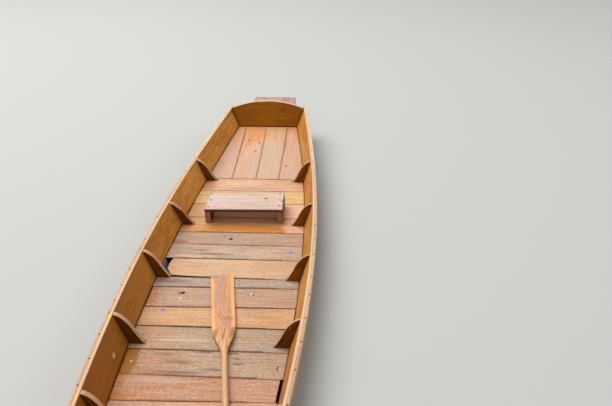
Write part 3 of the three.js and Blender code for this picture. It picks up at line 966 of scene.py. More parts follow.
@dataclass
class Frames:
    """The knees, and the timbers, cleats and bearers under the floor."""

    count: int = 5
    ease: float = 1.5 * MM
    knee_ease: float = 1.6 * MM
    knee_edge_angle: float = 50.0
    rim: float = 6 * MM
    foot_inwards: float = 0.09
    brown_feet: int = 2
    face_facing: float = 0.93
    arris_facing: float = 0.35

    def build(self) -> None:
        """Builds the ten knees and the pieces under the floor."""
        for number in range(1, self.count + 1):
            for side in Side:
                self.knee(number, side)
        # Hardwood that the bilge keeps damp: dark brown without a sheen.
        damp = two_tone_wood("floor timbers, damp hardwood", "#46311f", "#2c1d12", 61.0)
        timbers = [f"floor_timber_{i + 1}" for i in range(self.count)]
        for name in [*timbers, *(f"cleat_{end.word}" for end in End)]:
            beam = Timber(name, "frame_wood")
            beam.flatten()
            beam.ease(self.ease)
            beam.finish(lambda p: (p.x, p.y, p.z), [damp])
        for side in Side:
            bearer = Timber(f"bearer_{side.word}", "frame_wood")
            bearer.quads()
            bearer.ease(self.ease)
            bearer.finish(lambda p: (p.y, p.x, p.z - HULL.rise(p.y)), [damp])

    def knee(self, number: int, side: Side) -> None:
        """Builds one knee, dark on its faces and rubbed pale along its curved edge.

        Args:
            number: The frame's number, from the far end.
            side: The side of the boat it is on.
        """
        seed = 71.0 + 2.3 * number + side
        tones = ("#7c4c10", "#412608") if side is Side.LEFT else ("#9a5c12", "#553008")
        # Hardwood under old oil that nothing rubs: a dark amber brown, nearly matt, made darker still on its
        # broad faces as painted shade.
        oiled = WoodFinish(
            f"knee, oiled hardwood {number} {side.word}", *tones, ring_mm=9.0, heart=(0.05, -0.04),
            ring_share=0.4, figure_share=0.6, grey="#6e4c26", grey_share=0.3, oil="#5a3208", oil_share=0.5,
            streak="#2e190a", streak_share=0.5, worn="#7a4c1c", worn_share=0.3, roughness=0.55,
            mottle_share=0.35, shine=0.15, seed=seed)
        # Painted shade, with some of the edge's own tone: the rubbed edge darkens towards the foot.
        if side is Side.RIGHT:
            lower = Fade(0.04, 0.09, "#7d4e22", 0.95, 0.05)
        elif number <= self.brown_feet:
            lower = Fade(0.05, 0.15, "#87551f", 0.85, 0.1)
        else:
            lower = Fade(0.07, 0.17, "#b5804c", 0.85, 0.1)
        # The same hardwood rubbed bare: pale at the top, browner towards the foot, partly as painted shade.
        rubbed = WoodFinish(
            f"knee's edge, rubbed bare {number} {side.word}", "#d3a078", "#b17c50", ring_mm=7.0,
            grey="#b89a80", grey_share=0.35, oil="#a9682c", oil_share=0.3, streak="#7d4c26", streak_share=0.4,
            worn="#dcb48c", worn_share=0.3, seed=seed + 0.5, fades=(lower,))
        # Its rounded corners, which wear first: a thin pale line.
        arris = WoodFinish(
            f"knee's arris, rubbed pale {number} {side.word}", "#d9ae82", "#b98658", ring_mm=7.0,
            oil_share=0.2, streak="#8a5830", seed=seed + 0.8)
        knee = Timber(f"knee_{number}_{side.word}", "knee_wood")
        low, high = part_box(knee.node)
        y = (low.y + high.y) / 2
        top, foot = HULL.sheer(y), HULL.floor_top + HULL.rise(y)
        top_half = HULL.inner_half(y, top)
        run = Vector((HULL.inner_half(y, foot) - self.foot_inwards - top_half, foot - top)).normalized()
        knee.flatten()
        knee.ease(self.knee_ease, segments=3, angle=self.knee_edge_angle)
        knee.rim(1, self.rim)

        def place(point: Vector) -> Place:
            """Returns a point's place in the knee, whose grain runs down its slope."""
            x, z = side * point.x - top_half, point.z - top
            return (x * run.x + z * run.y, z * run.x - x * run.y, point.y - y)

        def pick(face: Face) -> int:
            """Returns a face's number among the finishes."""
            facing = abs(face.normal.y)
            return 0 if facing > self.face_facing else 2 if facing > self.arris_facing else 1

        knee.finish(place, [oiled.make(), rubbed.make(), arris.make()], pick)


@dataclass(frozen=True)
class BoardTone:
    """One floorboard's colours and state."""

    pale: str
    deep: str
    grey_share: float = 0.3
    oil_share: float = 0.2
    oil: str = "#c47c3c"
    smudge_share: float = 0.0
    crack_share: float = 0.25
    mottle_share: float = 0.25
    fades: tuple[Fade, ...] = ()
    spots: tuple[Spot, ...] = ()


@dataclass
class Floor:
    """The transverse floorboards and the lengthwise boards at each end.

    A board's long edges wander by about the waver. Its pale rim is partly wear and partly painted highlight,
    and the far edge's share keeps it weaker on the far edge than on the near one. The tones are listed from
    the far end and from the left. The dusty board has no grime in its gaps.
    """

    ease: float = 0.8 * MM
    rim: float = 5 * MM
    far_rim: float = 0.65
    waver: float = 0.5 * MM
    waver_pace: float = 9.0
    waver_apart: float = 3.0
    longest_edge: float = 0.07
    lengthwise_edge: float = 0.9
    upright_facing: float = 0.5
    dusty_board: int = 5
    board_tones: tuple[BoardTone, ...] = (
        BoardTone("#e7b596", "#d2946f", 0.25, 0.25, "#dd975c", fades=(
            Fade(-0.30, -0.36, "#d2803e", 0.6, 0.3), Fade(0.30, 0.36, "#d2803e", 0.5, 0.3)), spots=(
            floor_spot(0.02, 1.222, (0.20, 0.014, 0.03), "#a98478", 0.6, 1.4),)),
        BoardTone("#e9c285", "#d49e5d", 0.10, 0.20, "#e6b163"),
        # Board 3: its pale tone and pale right end are partly painted light against the stool's shadow.
        BoardTone("#f7e0c6", "#f4b498", 0.35, 0.20, fades=(
            Fade(-0.27, -0.33, "#dc9c6c", 0.85, 0.2), Fade(0.26, 0.31, "#f6bfa6", 0.7, 0.1)), spots=(
            # A grey patch under the stool, partly a sheltered grey and partly painted light and reflection.
            floor_spot(-0.010, 0.835, (0.20, 0.055, 0.03), "#c4b4ae", 0.75, 0.7),)),
        # Board 4: its pale pink right end is partly its own tone and partly painted light against the stool's
        # shadow.
        BoardTone("#d0a277", "#b48256", 0.20, 0.40, "#c38848", mottle_share=0.08, crack_share=0.1, fades=(
            Fade(0.030, -0.015, "#c97a10", 0.95, 0.04, "Y"), Fade(-0.20, -0.36, "#dca06a", 0.85, 0.25),
            Fade(0.28, 0.33, "#eab494", 0.9, 0.12))),
        BoardTone("#c09983", "#9e7660", 0.60, 0.10, smudge_share=0.35, crack_share=0.5, spots=(
            floor_spot(-0.056, 0.467, (0.012, 0.014, 0.02), "#070504", 1.0, 0.1),
            floor_spot(-0.105, 0.505, (0.007, 0.007, 0.02), "#5d463a", 0.9, 0.3),
            floor_spot(-0.001, 0.523, (0.006, 0.006, 0.02), "#5d463a", 0.9, 0.3),
            floor_spot(-0.405, 0.418, (0.050, 0.014, 0.02), "#a4632a", 0.85, 0.4))),
        BoardTone("#d1af96", "#a7846d", 0.60, 0.10, smudge_share=0.5, crack_share=0.5, spots=(
            floor_spot(-0.134, 0.271, (0.12, 0.008, 0.02), "#5d4a40", 0.8, 1.2),
            floor_spot(-0.245, 0.317, (0.07, 0.007, 0.02), "#6b5548", 0.7, 1.2),
            floor_spot(-0.339, 0.214, (0.07, 0.009, 0.02), "#5d4a40", 0.7, 1.2),
            floor_spot(0.376, 0.309, (0.015, 0.011, 0.02), "#4a86e6", 0.95, 0.2))),
        BoardTone("#daaf8a", "#c08d64", 0.15, 0.30, "#d39b66", spots=(
            floor_spot(0.138, 0.115, (0.006, 0.006, 0.02), "#8a5f40", 0.8, 0.3),
            floor_spot(0.222, 0.063, (0.006, 0.006, 0.02), "#6e4a34", 0.8, 0.3),
            floor_spot(0.075, 0.092, (0.006, 0.006, 0.02), "#8a5f40", 0.7, 0.3))),
        BoardTone("#bda696", "#8f7462", 0.70, 0.10, smudge_share=0.6, crack_share=0.5, spots=(
            floor_spot(-0.35, -0.05, (0.10, 0.020, 0.03), "#6f5648", 0.6, 1.4),
            floor_spot(0.073, -0.032, (0.005, 0.005, 0.02), "#3d2a20", 0.9, 0.2),
            floor_spot(0.081, -0.073, (0.005, 0.005, 0.02), "#3d2a20", 0.9, 0.2))),
        BoardTone("#c1997f", "#a97858", 0.35, 0.35, "#c1875d", smudge_share=0.15, fades=(
            Fade(-0.395, -0.415, "#c47a3c", 0.75, 0.12),), spots=(
            floor_spot(-0.262, -0.176, (0.023, 0.013, 0.02), "#6a452c", 0.8, 0.3),
            floor_spot(-0.250, -0.171, (0.012, 0.012, 0.02), "#060403", 1.0, 0.1),
            floor_spot(-0.253, -0.228, (0.009, 0.007, 0.02), "#ecd4b8", 0.8, 0.3),
            floor_spot(0.176, -0.168, (0.018, 0.018, 0.02), "#8a6248", 0.6, 0.4),
            floor_spot(0.176, -0.168, (0.013, 0.013, 0.02), "#f2dcc0", 0.85, 0.3),
            floor_spot(0.182, -0.172, (0.006, 0.008, 0.02), "#1a120c", 1.0, 0.1))),
        BoardTone("#d6a576", "#c0885b", 0.15, 0.30, "#d09158", spots=(
            floor_spot(-0.334, -0.344, (0.014, 0.010, 0.02), "#6472d8", 0.95, 0.2),)),
        BoardTone("#bc9d7f", "#97765a", 0.50, 0.15, smudge_share=0.4, crack_share=0.5, fades=(
            Fade(-0.22, -0.28, "#c48c64", 0.6, 0.4),), spots=(
            floor_spot(-0.142, -0.609, (0.12, 0.016, 0.03), "#d6c2b2", 0.5, 1.0),)),
        BoardTone("#c48a67", "#9d694b", 0.45, 0.15, smudge_share=0.5, crack_share=0.5, fades=(
            Fade(-0.16, -0.04, "#b99c80", 0.85, 0.5),
            Fade(-0.364, -0.370, "#a86a00", 0.95, 0.05, over=True)), spots=(
            floor_spot(-0.392, -0.7915, (0.007, 0.005, 0.02), "#f2d9b4", 0.9, 0.2),
            floor_spot(-0.225, -0.728, (0.060, 0.010, 0.03), "#8a7166", 0.7, 1.6),
            floor_spot(-0.129, -0.787, (0.070, 0.012, 0.03), "#775e52", 0.7, 1.6),
            floor_spot(-0.011, -0.702, (0.045, 0.010, 0.03), "#6c5044", 0.75, 1.4),
            floor_spot(0.058, -0.840, (0.050, 0.010, 0.03), "#6d584e", 0.7, 1.4),
            floor_spot(0.143, -0.708, (0.034, 0.008, 0.03), "#6c5044", 0.85, 1.3),
            floor_spot(0.170, -0.748, (0.028, 0.008, 0.03), "#6f584c", 0.8, 1.3),
            floor_spot(0.182, -0.790, (0.030, 0.009, 0.03), "#6f584c", 0.8, 1.3),
            floor_spot(-0.12, -0.866, (0.14, 0.010, 0.03), "#6d584e", 0.7, 1.2),
            floor_spot(0.394, -0.812, (0.006, 0.022, 0.03), "#6a4a34", 0.8, 0.3))),
        BoardTone("#c4906f", "#ae7250", 0.30, 0.85, "#c17230", fades=(
            Fade(0.12, 0.20, "#c49076", 0.75, 0.4), Fade(-0.385, -0.395, "#c27426", 0.8, 0.05)), spots=(
            floor_spot(-0.20, -0.925, (0.16, 0.020, 0.04), "#c9a08c", 0.75, 1.0),)),
        BoardTone("#d99f76", "#bd7c54", 0.25, 0.30),
        BoardTone("#d5a27c", "#b77f5b", 0.35, 0.20),
    )
    end_tones: tuple[BoardTone, ...] = (
        BoardTone("#d9b19a", "#c7977a", 0.40, 0.15, fades=(Fade(1.96, 2.24, "#dd9a5a", 0.7, 1.0),)),
        BoardTone("#d7ad92", "#c39472", 0.25, 0.20, fades=(Fade(1.90, 2.14, "#da8c40", 0.85, 1.2),)),
        BoardTone("#d3b396", "#be9577", 0.30, 0.15, fades=(Fade(2.00, 2.26, "#d89a52", 0.7, 1.3),)),
        BoardTone("#d4ad92", "#bf9070", 0.35, 0.20, fades=(Fade(1.98, 2.22, "#d68d4a", 0.75, 1.2),)),
    )
    far_knots: tuple[tuple[tuple[float, float], ...], ...] = (
        (), ((-0.146, 2.094), (-0.062, 1.888), (-0.044, 2.048)), (), ((0.235, 1.62),))

    def build(self) -> None:
        """Builds all the floorboards."""
        # Hardwood with years of grime in its gaps, darkened nearly to black as painted shade so that the gaps
        # read as deep.
        gap = two_tone_wood("faces in the floor's gaps, damp grimy hardwood", "#1a120c", "#0e0906", 65.0)
        # Hardwood whose gaps hold only dust: a light brown that hardly shows.
        dusty = two_tone_wood("faces between the end boards, dusty hardwood", "#b88c5c", "#8c6238", 66.0)
        for number, tone in enumerate(self.board_tones, start=1):
            self.transverse(number, tone, dusty if number == self.dusty_board else gap)
        for end in End:
            for number, tone in enumerate(self.end_tones, start=1):
                self.lengthwise(number, end, tone, dusty)

    def waved(self, board: Timber, axis: int, seed: float) -> None:
        """Lets a board's long edges wander a little inwards.

        Args:
            board: The board.
            axis: The axis across the board.
            seed: Where the wander starts.
        """
        middle = sum(v.co[axis] for v in board.mesh.verts) / len(board.mesh.verts)
        for vert in board.mesh.verts:
            way = 1 if vert.co[axis] > middle else -1
            along = vert.co[1 - axis] * self.waver_pace
            sway = noise.noise(Vector((along, way * self.waver_apart + seed, 0.5)))
            vert.co[axis] -= way * self.waver * (0.6 + 0.6 * sway)

    def in_gap(self, face: Face) -> int:
        """Returns the number of the gap's finish for a board's upright faces."""
        return int(abs(face.normal.z) < self.upright_facing)

    def transverse(self, number: int, tone: BoardTone, gap: Material) -> None:
        """Builds one board that lies across the boat.

        Args:
            number: The board's number, from the far end.
            tone: Its colours and state.
            gap: The finish of its upright faces.
        """
        # Bare hardwood under wet feet: dry and pinkish, with grey, oiled and smudged patches. Its pale rims
        # are partly wear and partly painted highlight.
        finish = WoodFinish(
            f"floorboard {number}, worn hardwood", tone.pale, tone.deep, ring_mm=7.0 + (number * 5 % 4),
            heart=(0.06 * math.sin(number * 2.1), -0.07 - 0.01 * (number * 3 % 5)), ring_share=0.25,
            grey="#a99688", grey_share=tone.grey_share, oil=tone.oil, oil_share=tone.oil_share,
            streak="#8a5f45", streak_share=0.35, worn="#fbdcae", worn_share=0.85, seed=number * 1.7,
            smudge_share=tone.smudge_share, crack_share=tone.crack_share, mottle_share=tone.mottle_share,
            fades=tone.fades, spots=tone.spots)
        board = Timber(f"floorboard_{number:02d}", "floor_wood")
        low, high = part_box(board.node)
        middle = (low + high) / 2
        board.flatten()
        board.divide(self.longest_edge, lambda e: abs(
            (e.verts[0].co - e.verts[1].co).normalized().x) > self.lengthwise_edge)
        self.waved(board, 1, number * 2.9)
        board.ease(self.ease)
        board.rim(2, self.rim)
        edge = board.mesh.verts.layers.float["edge"]
        for vert in board.mesh.verts:
            # Painted highlight: the near rim is paler than the far one.
            vert[edge] *= 1.0 if vert.co.y < middle.y else self.far_rim
        board.finish(lambda p: (p.x, p.y - middle.y, p.z - high.z), [finish.make(), gap], self.in_gap)

    def lengthwise(self, number: int, end: End, tone: BoardTone, gap: Material) -> None:
        """Builds one board that lies along the boat.

        Args:
            number: The board's number, from the left.
            end: The end of the boat it is at.
            tone: Its colours and state.
            gap: The finish of its upright faces.
        """
        fresh = tuple(replace(f, start=end * f.start, full=end * f.full, ragged=end * f.ragged)
                      for f in tone.fades)
        knots = self.far_knots[number - 1] if end is End.FAR else ()
        # Bare hardwood out of the feet's way: dry and pale, golden where it is fresh near the transom.
        finish = WoodFinish(
            f"end board {end.word} {number}, worn hardwood", tone.pale, tone.deep, ring_mm=8.0 + number % 3,
            heart=(0.03 * (number - 2.5), -0.08), ring_share=0.25, grey="#cdb8ac", grey_share=tone.grey_share,
            oil="#dba070", oil_share=tone.oil_share, streak="#b58465", streak_share=0.35, worn="#f0cfae",
            worn_share=0.5, seed=80.0 + 10 * end + number * 1.9, fades=fresh,
            spots=tuple(floor_spot(x, y, (0.010, 0.014, 0.02), "#8a4f2c", 0.85, 0.4) for x, y in knots))
        board = Timber(f"end_board_{end.word}_{number}", "floor_wood")
        low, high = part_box(board.node)
        middle = (low + high) / 2
        board.quads()
        self.waved(board, 0, number * 3.7 + end)
        board.ease(self.ease)
        board.rim(2, self.rim)
        board.finish(lambda p: (p.y, p.x - middle.x, p.z - HULL.rise(p.y) - HULL.floor_top),
                     [finish.make(), gap], self.in_gap)


@dataclass
class Stool:
    """The low stool: a plank top on two leg boards."""

    turn: float = math.radians(1.4)
    centre: tuple[float, float] = (0.003, 0.812)
    top_high: float = 0.209
    leg_middle: float = 0.14
    knot: Place = (0.152, 0.853, 0.2086)
    ease: float = 1.5 * MM
    rim: float = 5 * MM
    upright_facing: float = 0.6
    inward_facing: float = 0.5

    def build(self) -> None:
        """Builds the top and the two legs."""
        # Bare hardwood, sat on and sunned: pale, dry and rosy, with a golden knot.
        top_wood = WoodFinish(
            "stool's top, worn hardwood", "#dec5b5", "#c7a18f", ring_mm=13.0, heart=(0.02, -0.03),
            ring_share=0.35, grey="#d0c2b9", grey_share=0.5, oil="#cea189", oil_share=0.3, streak="#9a6b56",
            streak_share=0.5, worn="#ebded1", worn_share=0.6, roughness=0.68, seed=91.0, crack_share=0.4,
            spots=(Spot(self.knot, (0.019, 0.012, 0.03), "#c98418", 1.0, 0.3),
                   Spot(self.knot, (0.008, 0.006, 0.03), "#5c3410", 0.85, 0.3))).make()
        # Oiled hardwood: a mid brown.
        leg_wood = WoodFinish(
            "stool's legs, oiled hardwood", "#a87850", "#7c5030", grey="#9c7f64", grey_share=0.3,
            oil="#8a4a22", oil_share=0.4, streak="#553019", streak_share=0.5, worn="#b98d62",
            worn_share=0.3, roughness=0.6, seed=95.0).make()
        # The same oiled hardwood, darkened to a red brown as painted shade on the top's upright faces and the
        # legs' inner faces.
        painted_shade_wood = WoodFinish(
            "stool's shaded faces, oiled hardwood", "#663a20", "#42230f", grey="#5b3f2e", grey_share=0.2,
            oil="#5a2c14", oil_share=0.4, streak="#351c0e", streak_share=0.5, worn="#8a5a36", worn_share=0.2,
            roughness=0.6, shine=0.2, seed=96.0).make()
        top = self.board("top", 2)
        top.finish(self.across, [top_wood, painted_shade_wood], lambda f: int(abs(f.normal.z) < self.upright_facing))
        for side in Side:
            leg = self.board(f"leg_{side.word}", 0)
            leg.finish(self.upright, [leg_wood, painted_shade_wood],
                       lambda f: int(side * f.normal.x < -self.inward_facing))

    def board(self, word: str, axis: int) -> Timber:
        """Starts one of the stool's boards, with rounded edges and a marked rim.

        Args:
            word: The board's name.
            axis: The axis that its broad faces look along.

        Returns:
            The board, still without its finish.
        """
        board = Timber(f"stool_{word}", "stool_wood", "stool")
        board.flatten()
        board.ease(self.ease)
        board.rim(axis, self.rim)
        return board

    def across(self, point: Vector) -> Place:
        """Finds a point's place in the top, whose grain runs along it.

        Args:
            point: The point in the boat's frame.

        Returns:
            Its place along, across and into the top.
        """
        x, y = point.x - self.centre[0], point.y - self.centre[1]
        cos, sin = math.cos(self.turn), math.sin(self.turn)
        return (x * cos + y * sin, y * cos - x * sin, point.z - self.top_high)

    def upright(self, point: Vector) -> Place:
        """Returns a point's place in a leg, whose grain runs along the stool's depth."""
        return (point.y - self.centre[1], point.z - self.leg_middle, point.x)


@dataclass
class Paddle:
    """The paddle: one carved piece with a forked ridge where the shaft leaves the blade.

    Distances along it are from the blade's tip. The half widths are the blade's and the shaft's.
    """

    tip: tuple[float, float] = (-0.039, 0.015)
    turn: float = math.radians(10.6)
    middle_high: float = 0.1
    ridge_from: float = 0.53
    ridge_to: float = 0.80
    ridge_high: float = 5.0 * MM
    ridge_wide: float = 6.0 * MM
    fork_wide: float = 0.026
    fork_bend: float = 1.3
    fork_rise: float = 6.0
    fine_step: float = 4.0 * MM
    coarser: int = 3
    fine_margin: float = 0.02
    cross_cuts: int = 24
    side_cuts: int = 8
    tiny: float = 0.1 * MM
    band_from: float = 0.56
    band_full: float = 0.78
    shoulder: float = 0.56
    shaft_worn: float = 0.35
    edge_until: float = 0.74
    edge_facing: float = 0.45
    top_facing: float = 0.2
    half_widths: tuple[tuple[float, float], ...] = (
        (0.0, 0.066), (0.012, 0.073), (0.30, 0.0705), (0.48, 0.0695), (0.56, 0.0665), (0.64, 0.051),
        (0.68, 0.038), (0.715, 0.027), (0.75, 0.0195), (0.80, 0.0165), (1.54, 0.0165), (1.65, 0.02))

    def build(self) -> None:
        """Builds the paddle."""
        # Hardwood polished by wet hands: satin, orange along its edges and straw coloured on the shaft.
        blade = WoodFinish(
            "paddle's blade, worn hardwood", "#dfa270", "#c38359", ring_mm=11.0, heart=(0.004, -0.03),
            ring_share=0.25, grey="#b38c7a", grey_share=0.45, oil="#db9660", oil_share=0.3, streak="#955b36",
            streak_share=0.5, worn="#f4b472", worn_share=0.95, roughness=0.5, seed=97.0, mottle_share=0.4,
            fades=(Fade(0.56, 0.74, "#d6b184", 0.9, 0.12),), spots=self.stains())
        # The same hardwood on the blade's upright edges, darkened to an oiled brown as painted shade.
        side = WoodFinish(
            "paddle's edge, oiled hardwood", "#8a5a2c", "#5f3a18", grey_share=0.1, oil="#6b3f16",
            streak="#44260e", worn="#8a5a2c", roughness=0.5, seed=98.0)
        paddle = Timber("paddle", "paddle_wood", "paddle")
        paddle.quads()
        for _ in range(2):
            bmesh.ops.subdivide_edges(
                paddle.mesh, edges=paddle.mesh.edges, cuts=1, use_grid_fill=True, smooth=0.6)
        self.refine(paddle.mesh)
        self.carve(paddle.mesh)
        paddle.finish(self.place, [blade.make(), side.make()], self.on_edge)

    def carve(self, mesh: Mesh) -> None:
        """Raises the forked ridge, marks where the paddle is worn, and marks the ridge for a painted
        highlight in the pale worn colour.

        Args:
            mesh: The paddle's mesh.
        """
        mesh.normal_update()
        edge = mesh.verts.layers.float["edge"]
        for vert in mesh.verts:
            along, across, _ = self.place(vert.co)
            reach = abs(across) / self.half_width(along)
            band = (reach - self.band_from) / (self.band_full - self.band_from)
            arris = self.arris(along, across)
            worn = min(max(band, 0.0), 1.0) if along < self.shoulder else self.shaft_worn
            # The ridge takes the pale worn colour as a painted highlight.
            vert[edge] = max(worn, arris)
            if vert.normal.z > self.top_facing:
                share = (along - self.ridge_from) / (self.ridge_to - self.ridge_from)
                vert.co.z += self.ridge_high * arris * math.sin(math.pi * min(max(share, 0.0), 1.0))

    def on_edge(self, face: Face) -> int:
        """Returns the number of the edge's finish for the blade's upright faces."""
        along = self.place(face.calc_center_median())[0]
        return int(along < self.edge_until and abs(face.normal.z) < self.edge_facing)

    def place(self, point: Vector) -> Place:
        """Finds a point's place in the paddle.

        Args:
            point: The point in the boat's frame.

        Returns:
            Its distance from the tip, across and up.
        """
        x, y = point.x - self.tip[0], point.y - self.tip[1]
        sin, cos = math.sin(self.turn), math.cos(self.turn)
        return (x * sin - y * cos, x * cos + y * sin, point.z - self.middle_high)

    def half_width(self, along: float) -> float:
        """Finds the paddle's half width.

        Args:
            along: The distance from the tip.

        Returns:
            The half width there, or the grip's beyond the last one given.
        """
        for (a, wide_a), (b, wide_b) in zip(self.half_widths, self.half_widths[1:]):
            if a <= along <= b:
                return wide_a + (wide_b - wide_a) * (along - a) / (b - a)
        return self.half_widths[-1][1]

    def refine(self, mesh: Mesh) -> None:
        """Cuts the shoulder into small faces, for the fork.

        Args:
            mesh: The paddle's mesh.
        """
        sin, cos = math.sin(self.turn), math.cos(self.turn)
        tip = Vector((*self.tip, 0.0))
        down, across = Vector((sin, -cos, 0.0)), Vector((cos, sin, 0.0))
        steps = [(down, self.ridge_from + self.coarser * i * self.fine_step) for i in range(self.cross_cuts)]
        steps += [(across, i * self.fine_step) for i in range(-self.side_cuts, self.side_cuts + 1)]
        first, last = self.ridge_from - self.fine_margin, self.ridge_to + self.fine_margin
        for way, distance in steps:
            near = [f for f in mesh.faces if first < self.place(f.calc_center_median())[0] < last]
            edges = {e for f in near for e in f.edges}
            verts = {v for f in near for v in f.verts}
            bmesh.ops.bisect_plane(
                mesh, geom=[*verts, *edges, *near], plane_co=tip + way * distance, plane_no=way)
        bmesh.ops.dissolve_degenerate(mesh, dist=self.tiny, edges=mesh.edges)

    def arris(self, along: float, across: float) -> float:
        """Measures how near a point is to the ridge, which leaves the shaft as one and forks on the blade.

        Args:
            along: The distance from the tip.
            across: The distance from the middle line.

        Returns:
            One on the ridge, down to zero away from it.
        """
        if not self.ridge_from < along < self.ridge_to:
            return 0.0
        share = (along - self.ridge_from) / (self.ridge_to - self.ridge_from)
        fork = self.fork_wide * (1 - share) ** self.fork_bend
        bumps = sum(math.exp(-((across - side * fork) / self.ridge_wide) ** 2) for side in Side)
        return min(bumps, 1.0) * min(1.0, self.fork_rise * share)

    def stains(self) -> tuple[Spot, ...]:
        """Lists the blade's stains.

        Returns:
            A purple grey tip and side, and darker patches by the shaft, one of them a painted shade in the
            fork's valley.
        """
        sin, cos = math.sin(self.turn), math.cos(self.turn)
        marks = (
            (0.015, -0.045, (0.026, 0.030, 0.06), "#a08c8c", 0.7, 0.8),
            (0.20, -0.030, (0.014, 0.16, 0.06), "#b08c8a", 0.6, 1.2),
            (0.47, 0.030, (0.028, 0.025, 0.06), "#a4765a", 0.6, 1.0),
            # A painted shade along the valley between the fork's arms.
            (0.615, 0.0, (0.008, 0.055, 0.06), "#8a5a34", 0.55, 0.7),
            (0.60, -0.046, (0.012, 0.05, 0.06), "#8a5526", 0.6, 0.8),
            (0.60, 0.046, (0.012, 0.05, 0.06), "#8a5526", 0.6, 0.8))
        return tuple(
            Spot((self.tip[0] + along * sin + across * cos, self.tip[1] - along * cos + across * sin,
                  self.middle_high), *looks)
            for along, across, *looks in marks)


@dataclass
class Fastenings:
    """Nails along the rails and the sides, and the stool's screws.

    The rails' nails are listed by their place along the boat. The sides' nails stand at each knee and
    along each transom, at shares of the plank's height.
    """

    head: float = 3.8 * MM
    dimple: float = 5.4 * MM
    screw_head: float = 4.6 * MM
    screw_dimple: float = 8.0 * MM
    rail_slope: float = 0.02
    below_gunwale: float = 0.042
    knee_shares: tuple[float, ...] = (0.28, 0.50, 0.72)
    end_shares: tuple[float, ...] = (0.25, 0.5, 0.75)
    end_from: float = 2.378
    end_lean: float = 0.05
    stool_high: float = 0.2081
    stool_slope: float = 0.013
    rail_nails_left: tuple[float, ...] = (
        2.28, 2.06, 1.82, 1.57, 1.36, 1.12, 0.90, 0.68, 0.42, 0.125, 0.013, -0.216, -0.38, -0.527, -0.635,
        -0.82, -1.006, -1.19, -1.40, -1.63, -1.86, -2.08, -2.27)
    rail_nails_right: tuple[float, ...] = (
        2.27, 2.02, 1.79, 1.55, 1.30, 1.08, 0.86, 0.62, 0.35, 0.16, -0.010, -0.249, -0.426, -0.64, -0.83,
        -1.04, -1.27, -1.47, -1.70, -1.92, -2.10, -2.28)
    stool_screws: tuple[tuple[float, float], ...] = (
        (-0.267, 0.908), (-0.253, 0.815), (-0.257, 0.717), (0.249, 0.927), (0.274, 0.819), (0.263, 0.744))

    def build(self) -> None:
        """Builds the fastenings."""
        # Forged iron under rust: small, dark and nearly matt.
        iron = IronFinish("nails, rusted forged iron").make()
        # Hardwood that the rust has stained: a dark brown ring about each head.
        stain = WoodFinish("nail holes, iron stained wood", "#3a2416", "#20140c", grey="#4a3a30",
                           oil="#2e1c10", streak="#1e120a", worn="#3a2416", worn_share=0.0, seed=3.0).make()
        rails = bmesh.new()
        for side, places in ((Side.LEFT, self.rail_nails_left), (Side.RIGHT, self.rail_nails_right)):
            for y in places:
                z = HULL.sheer(y)
                x = side * (HULL.inner_half(y, z) + HULL.side_wide + HULL.rail_wide * 0.5)
                out = Vector((0, -self.rail_slope * y, 1))
                self.nail(rails, Vector((x, y, z)), out, self.head, self.dimple)
        settle(rails, "rail_nails", [stain, iron], "hull", None)
        sides = bmesh.new()
        for side in Side:
            for number in range(1, Frames.count + 1):
                low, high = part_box(f"knee_{number}_{side.word}")
                for share in self.knee_shares:
                    self.side_nail(sides, side, (low.y + high.y) / 2, share)
            for end in reversed(End):
                for share in self.end_shares:
                    self.side_nail(sides, side, end * (self.end_from + self.end_lean * share), share)
        settle(sides, "side_nails", [stain, iron], "hull", None)
        screws = bmesh.new()
        for x, y in self.stool_screws:
            place = Vector((x, y, self.stool_high + self.stool_slope * (y - Stool.centre[1])))
            self.nail(screws, place, Vector((0, -self.stool_slope, 1)), self.screw_head, self.screw_dimple)
        settle(screws, "stool_screws", [stain, iron], "stool", None)

    def side_nail(self, mesh: Mesh, side: Side, y: float, share: float) -> None:
        """Sets a nail in a side plank's outer face.

        Args:
            mesh: The mesh that holds the nails.
            side: The side of the boat.
            y: The nail's place along the boat.
            share: Its height, as a share of the plank's.
        """
        low, high = HULL.rise(y) + HULL.bottom_thick, HULL.sheer(y) - self.below_gunwale
        z = low + share * (high - low)
        step = 0.01
        flare = (HULL.inner_half(y, z + step) - HULL.inner_half(y, z)) / step
        taper = (HULL.inner_half(y + step, z) - HULL.inner_half(y - step, z)) / (2 * step)
        place = Vector((side * (HULL.inner_half(y, z) + HULL.side_wide), y, z))
        self.nail(mesh, place, Vector((side, -taper, -flare)), self.head, self.dimple)

    @staticmethod
    def nail(mesh: Mesh, place: Vector, out: Vector, head: float, dimple: float) -> None:
        """Adds a domed nail head in a stained dimple.

        Args:
            mesh: The mesh that holds the nails.
            place: The point of the surface.
            out: The surface's outward direction.
            head: The head's radius.
            dimple: The dimple's radius.
        """
        at = Matrix.Translation(place) @ out.normalized().to_track_quat("Z", "Y").to_matrix().to_4x4()
        rim = bmesh.ops.create_cone(
            mesh, cap_ends=True, segments=14, radius1=dimple, radius2=dimple * 0.9, depth=0.5 * MM,
            matrix=at @ Matrix.Translation((0, 0, 0.1 * MM)))
        dome = bmesh.ops.create_uvsphere(
            mesh, u_segments=12, v_segments=8, radius=head,
            matrix=at @ Matrix.Translation((0, 0, 0.2 * MM)) @ Matrix.Diagonal((1, 1, 0.3, 1)))
        for number, shape in enumerate((rim, dome)):
            for face in {f for vert in shape["verts"] for f in vert.link_faces}:
                face.material_index = number
                face.smooth = shape is dome


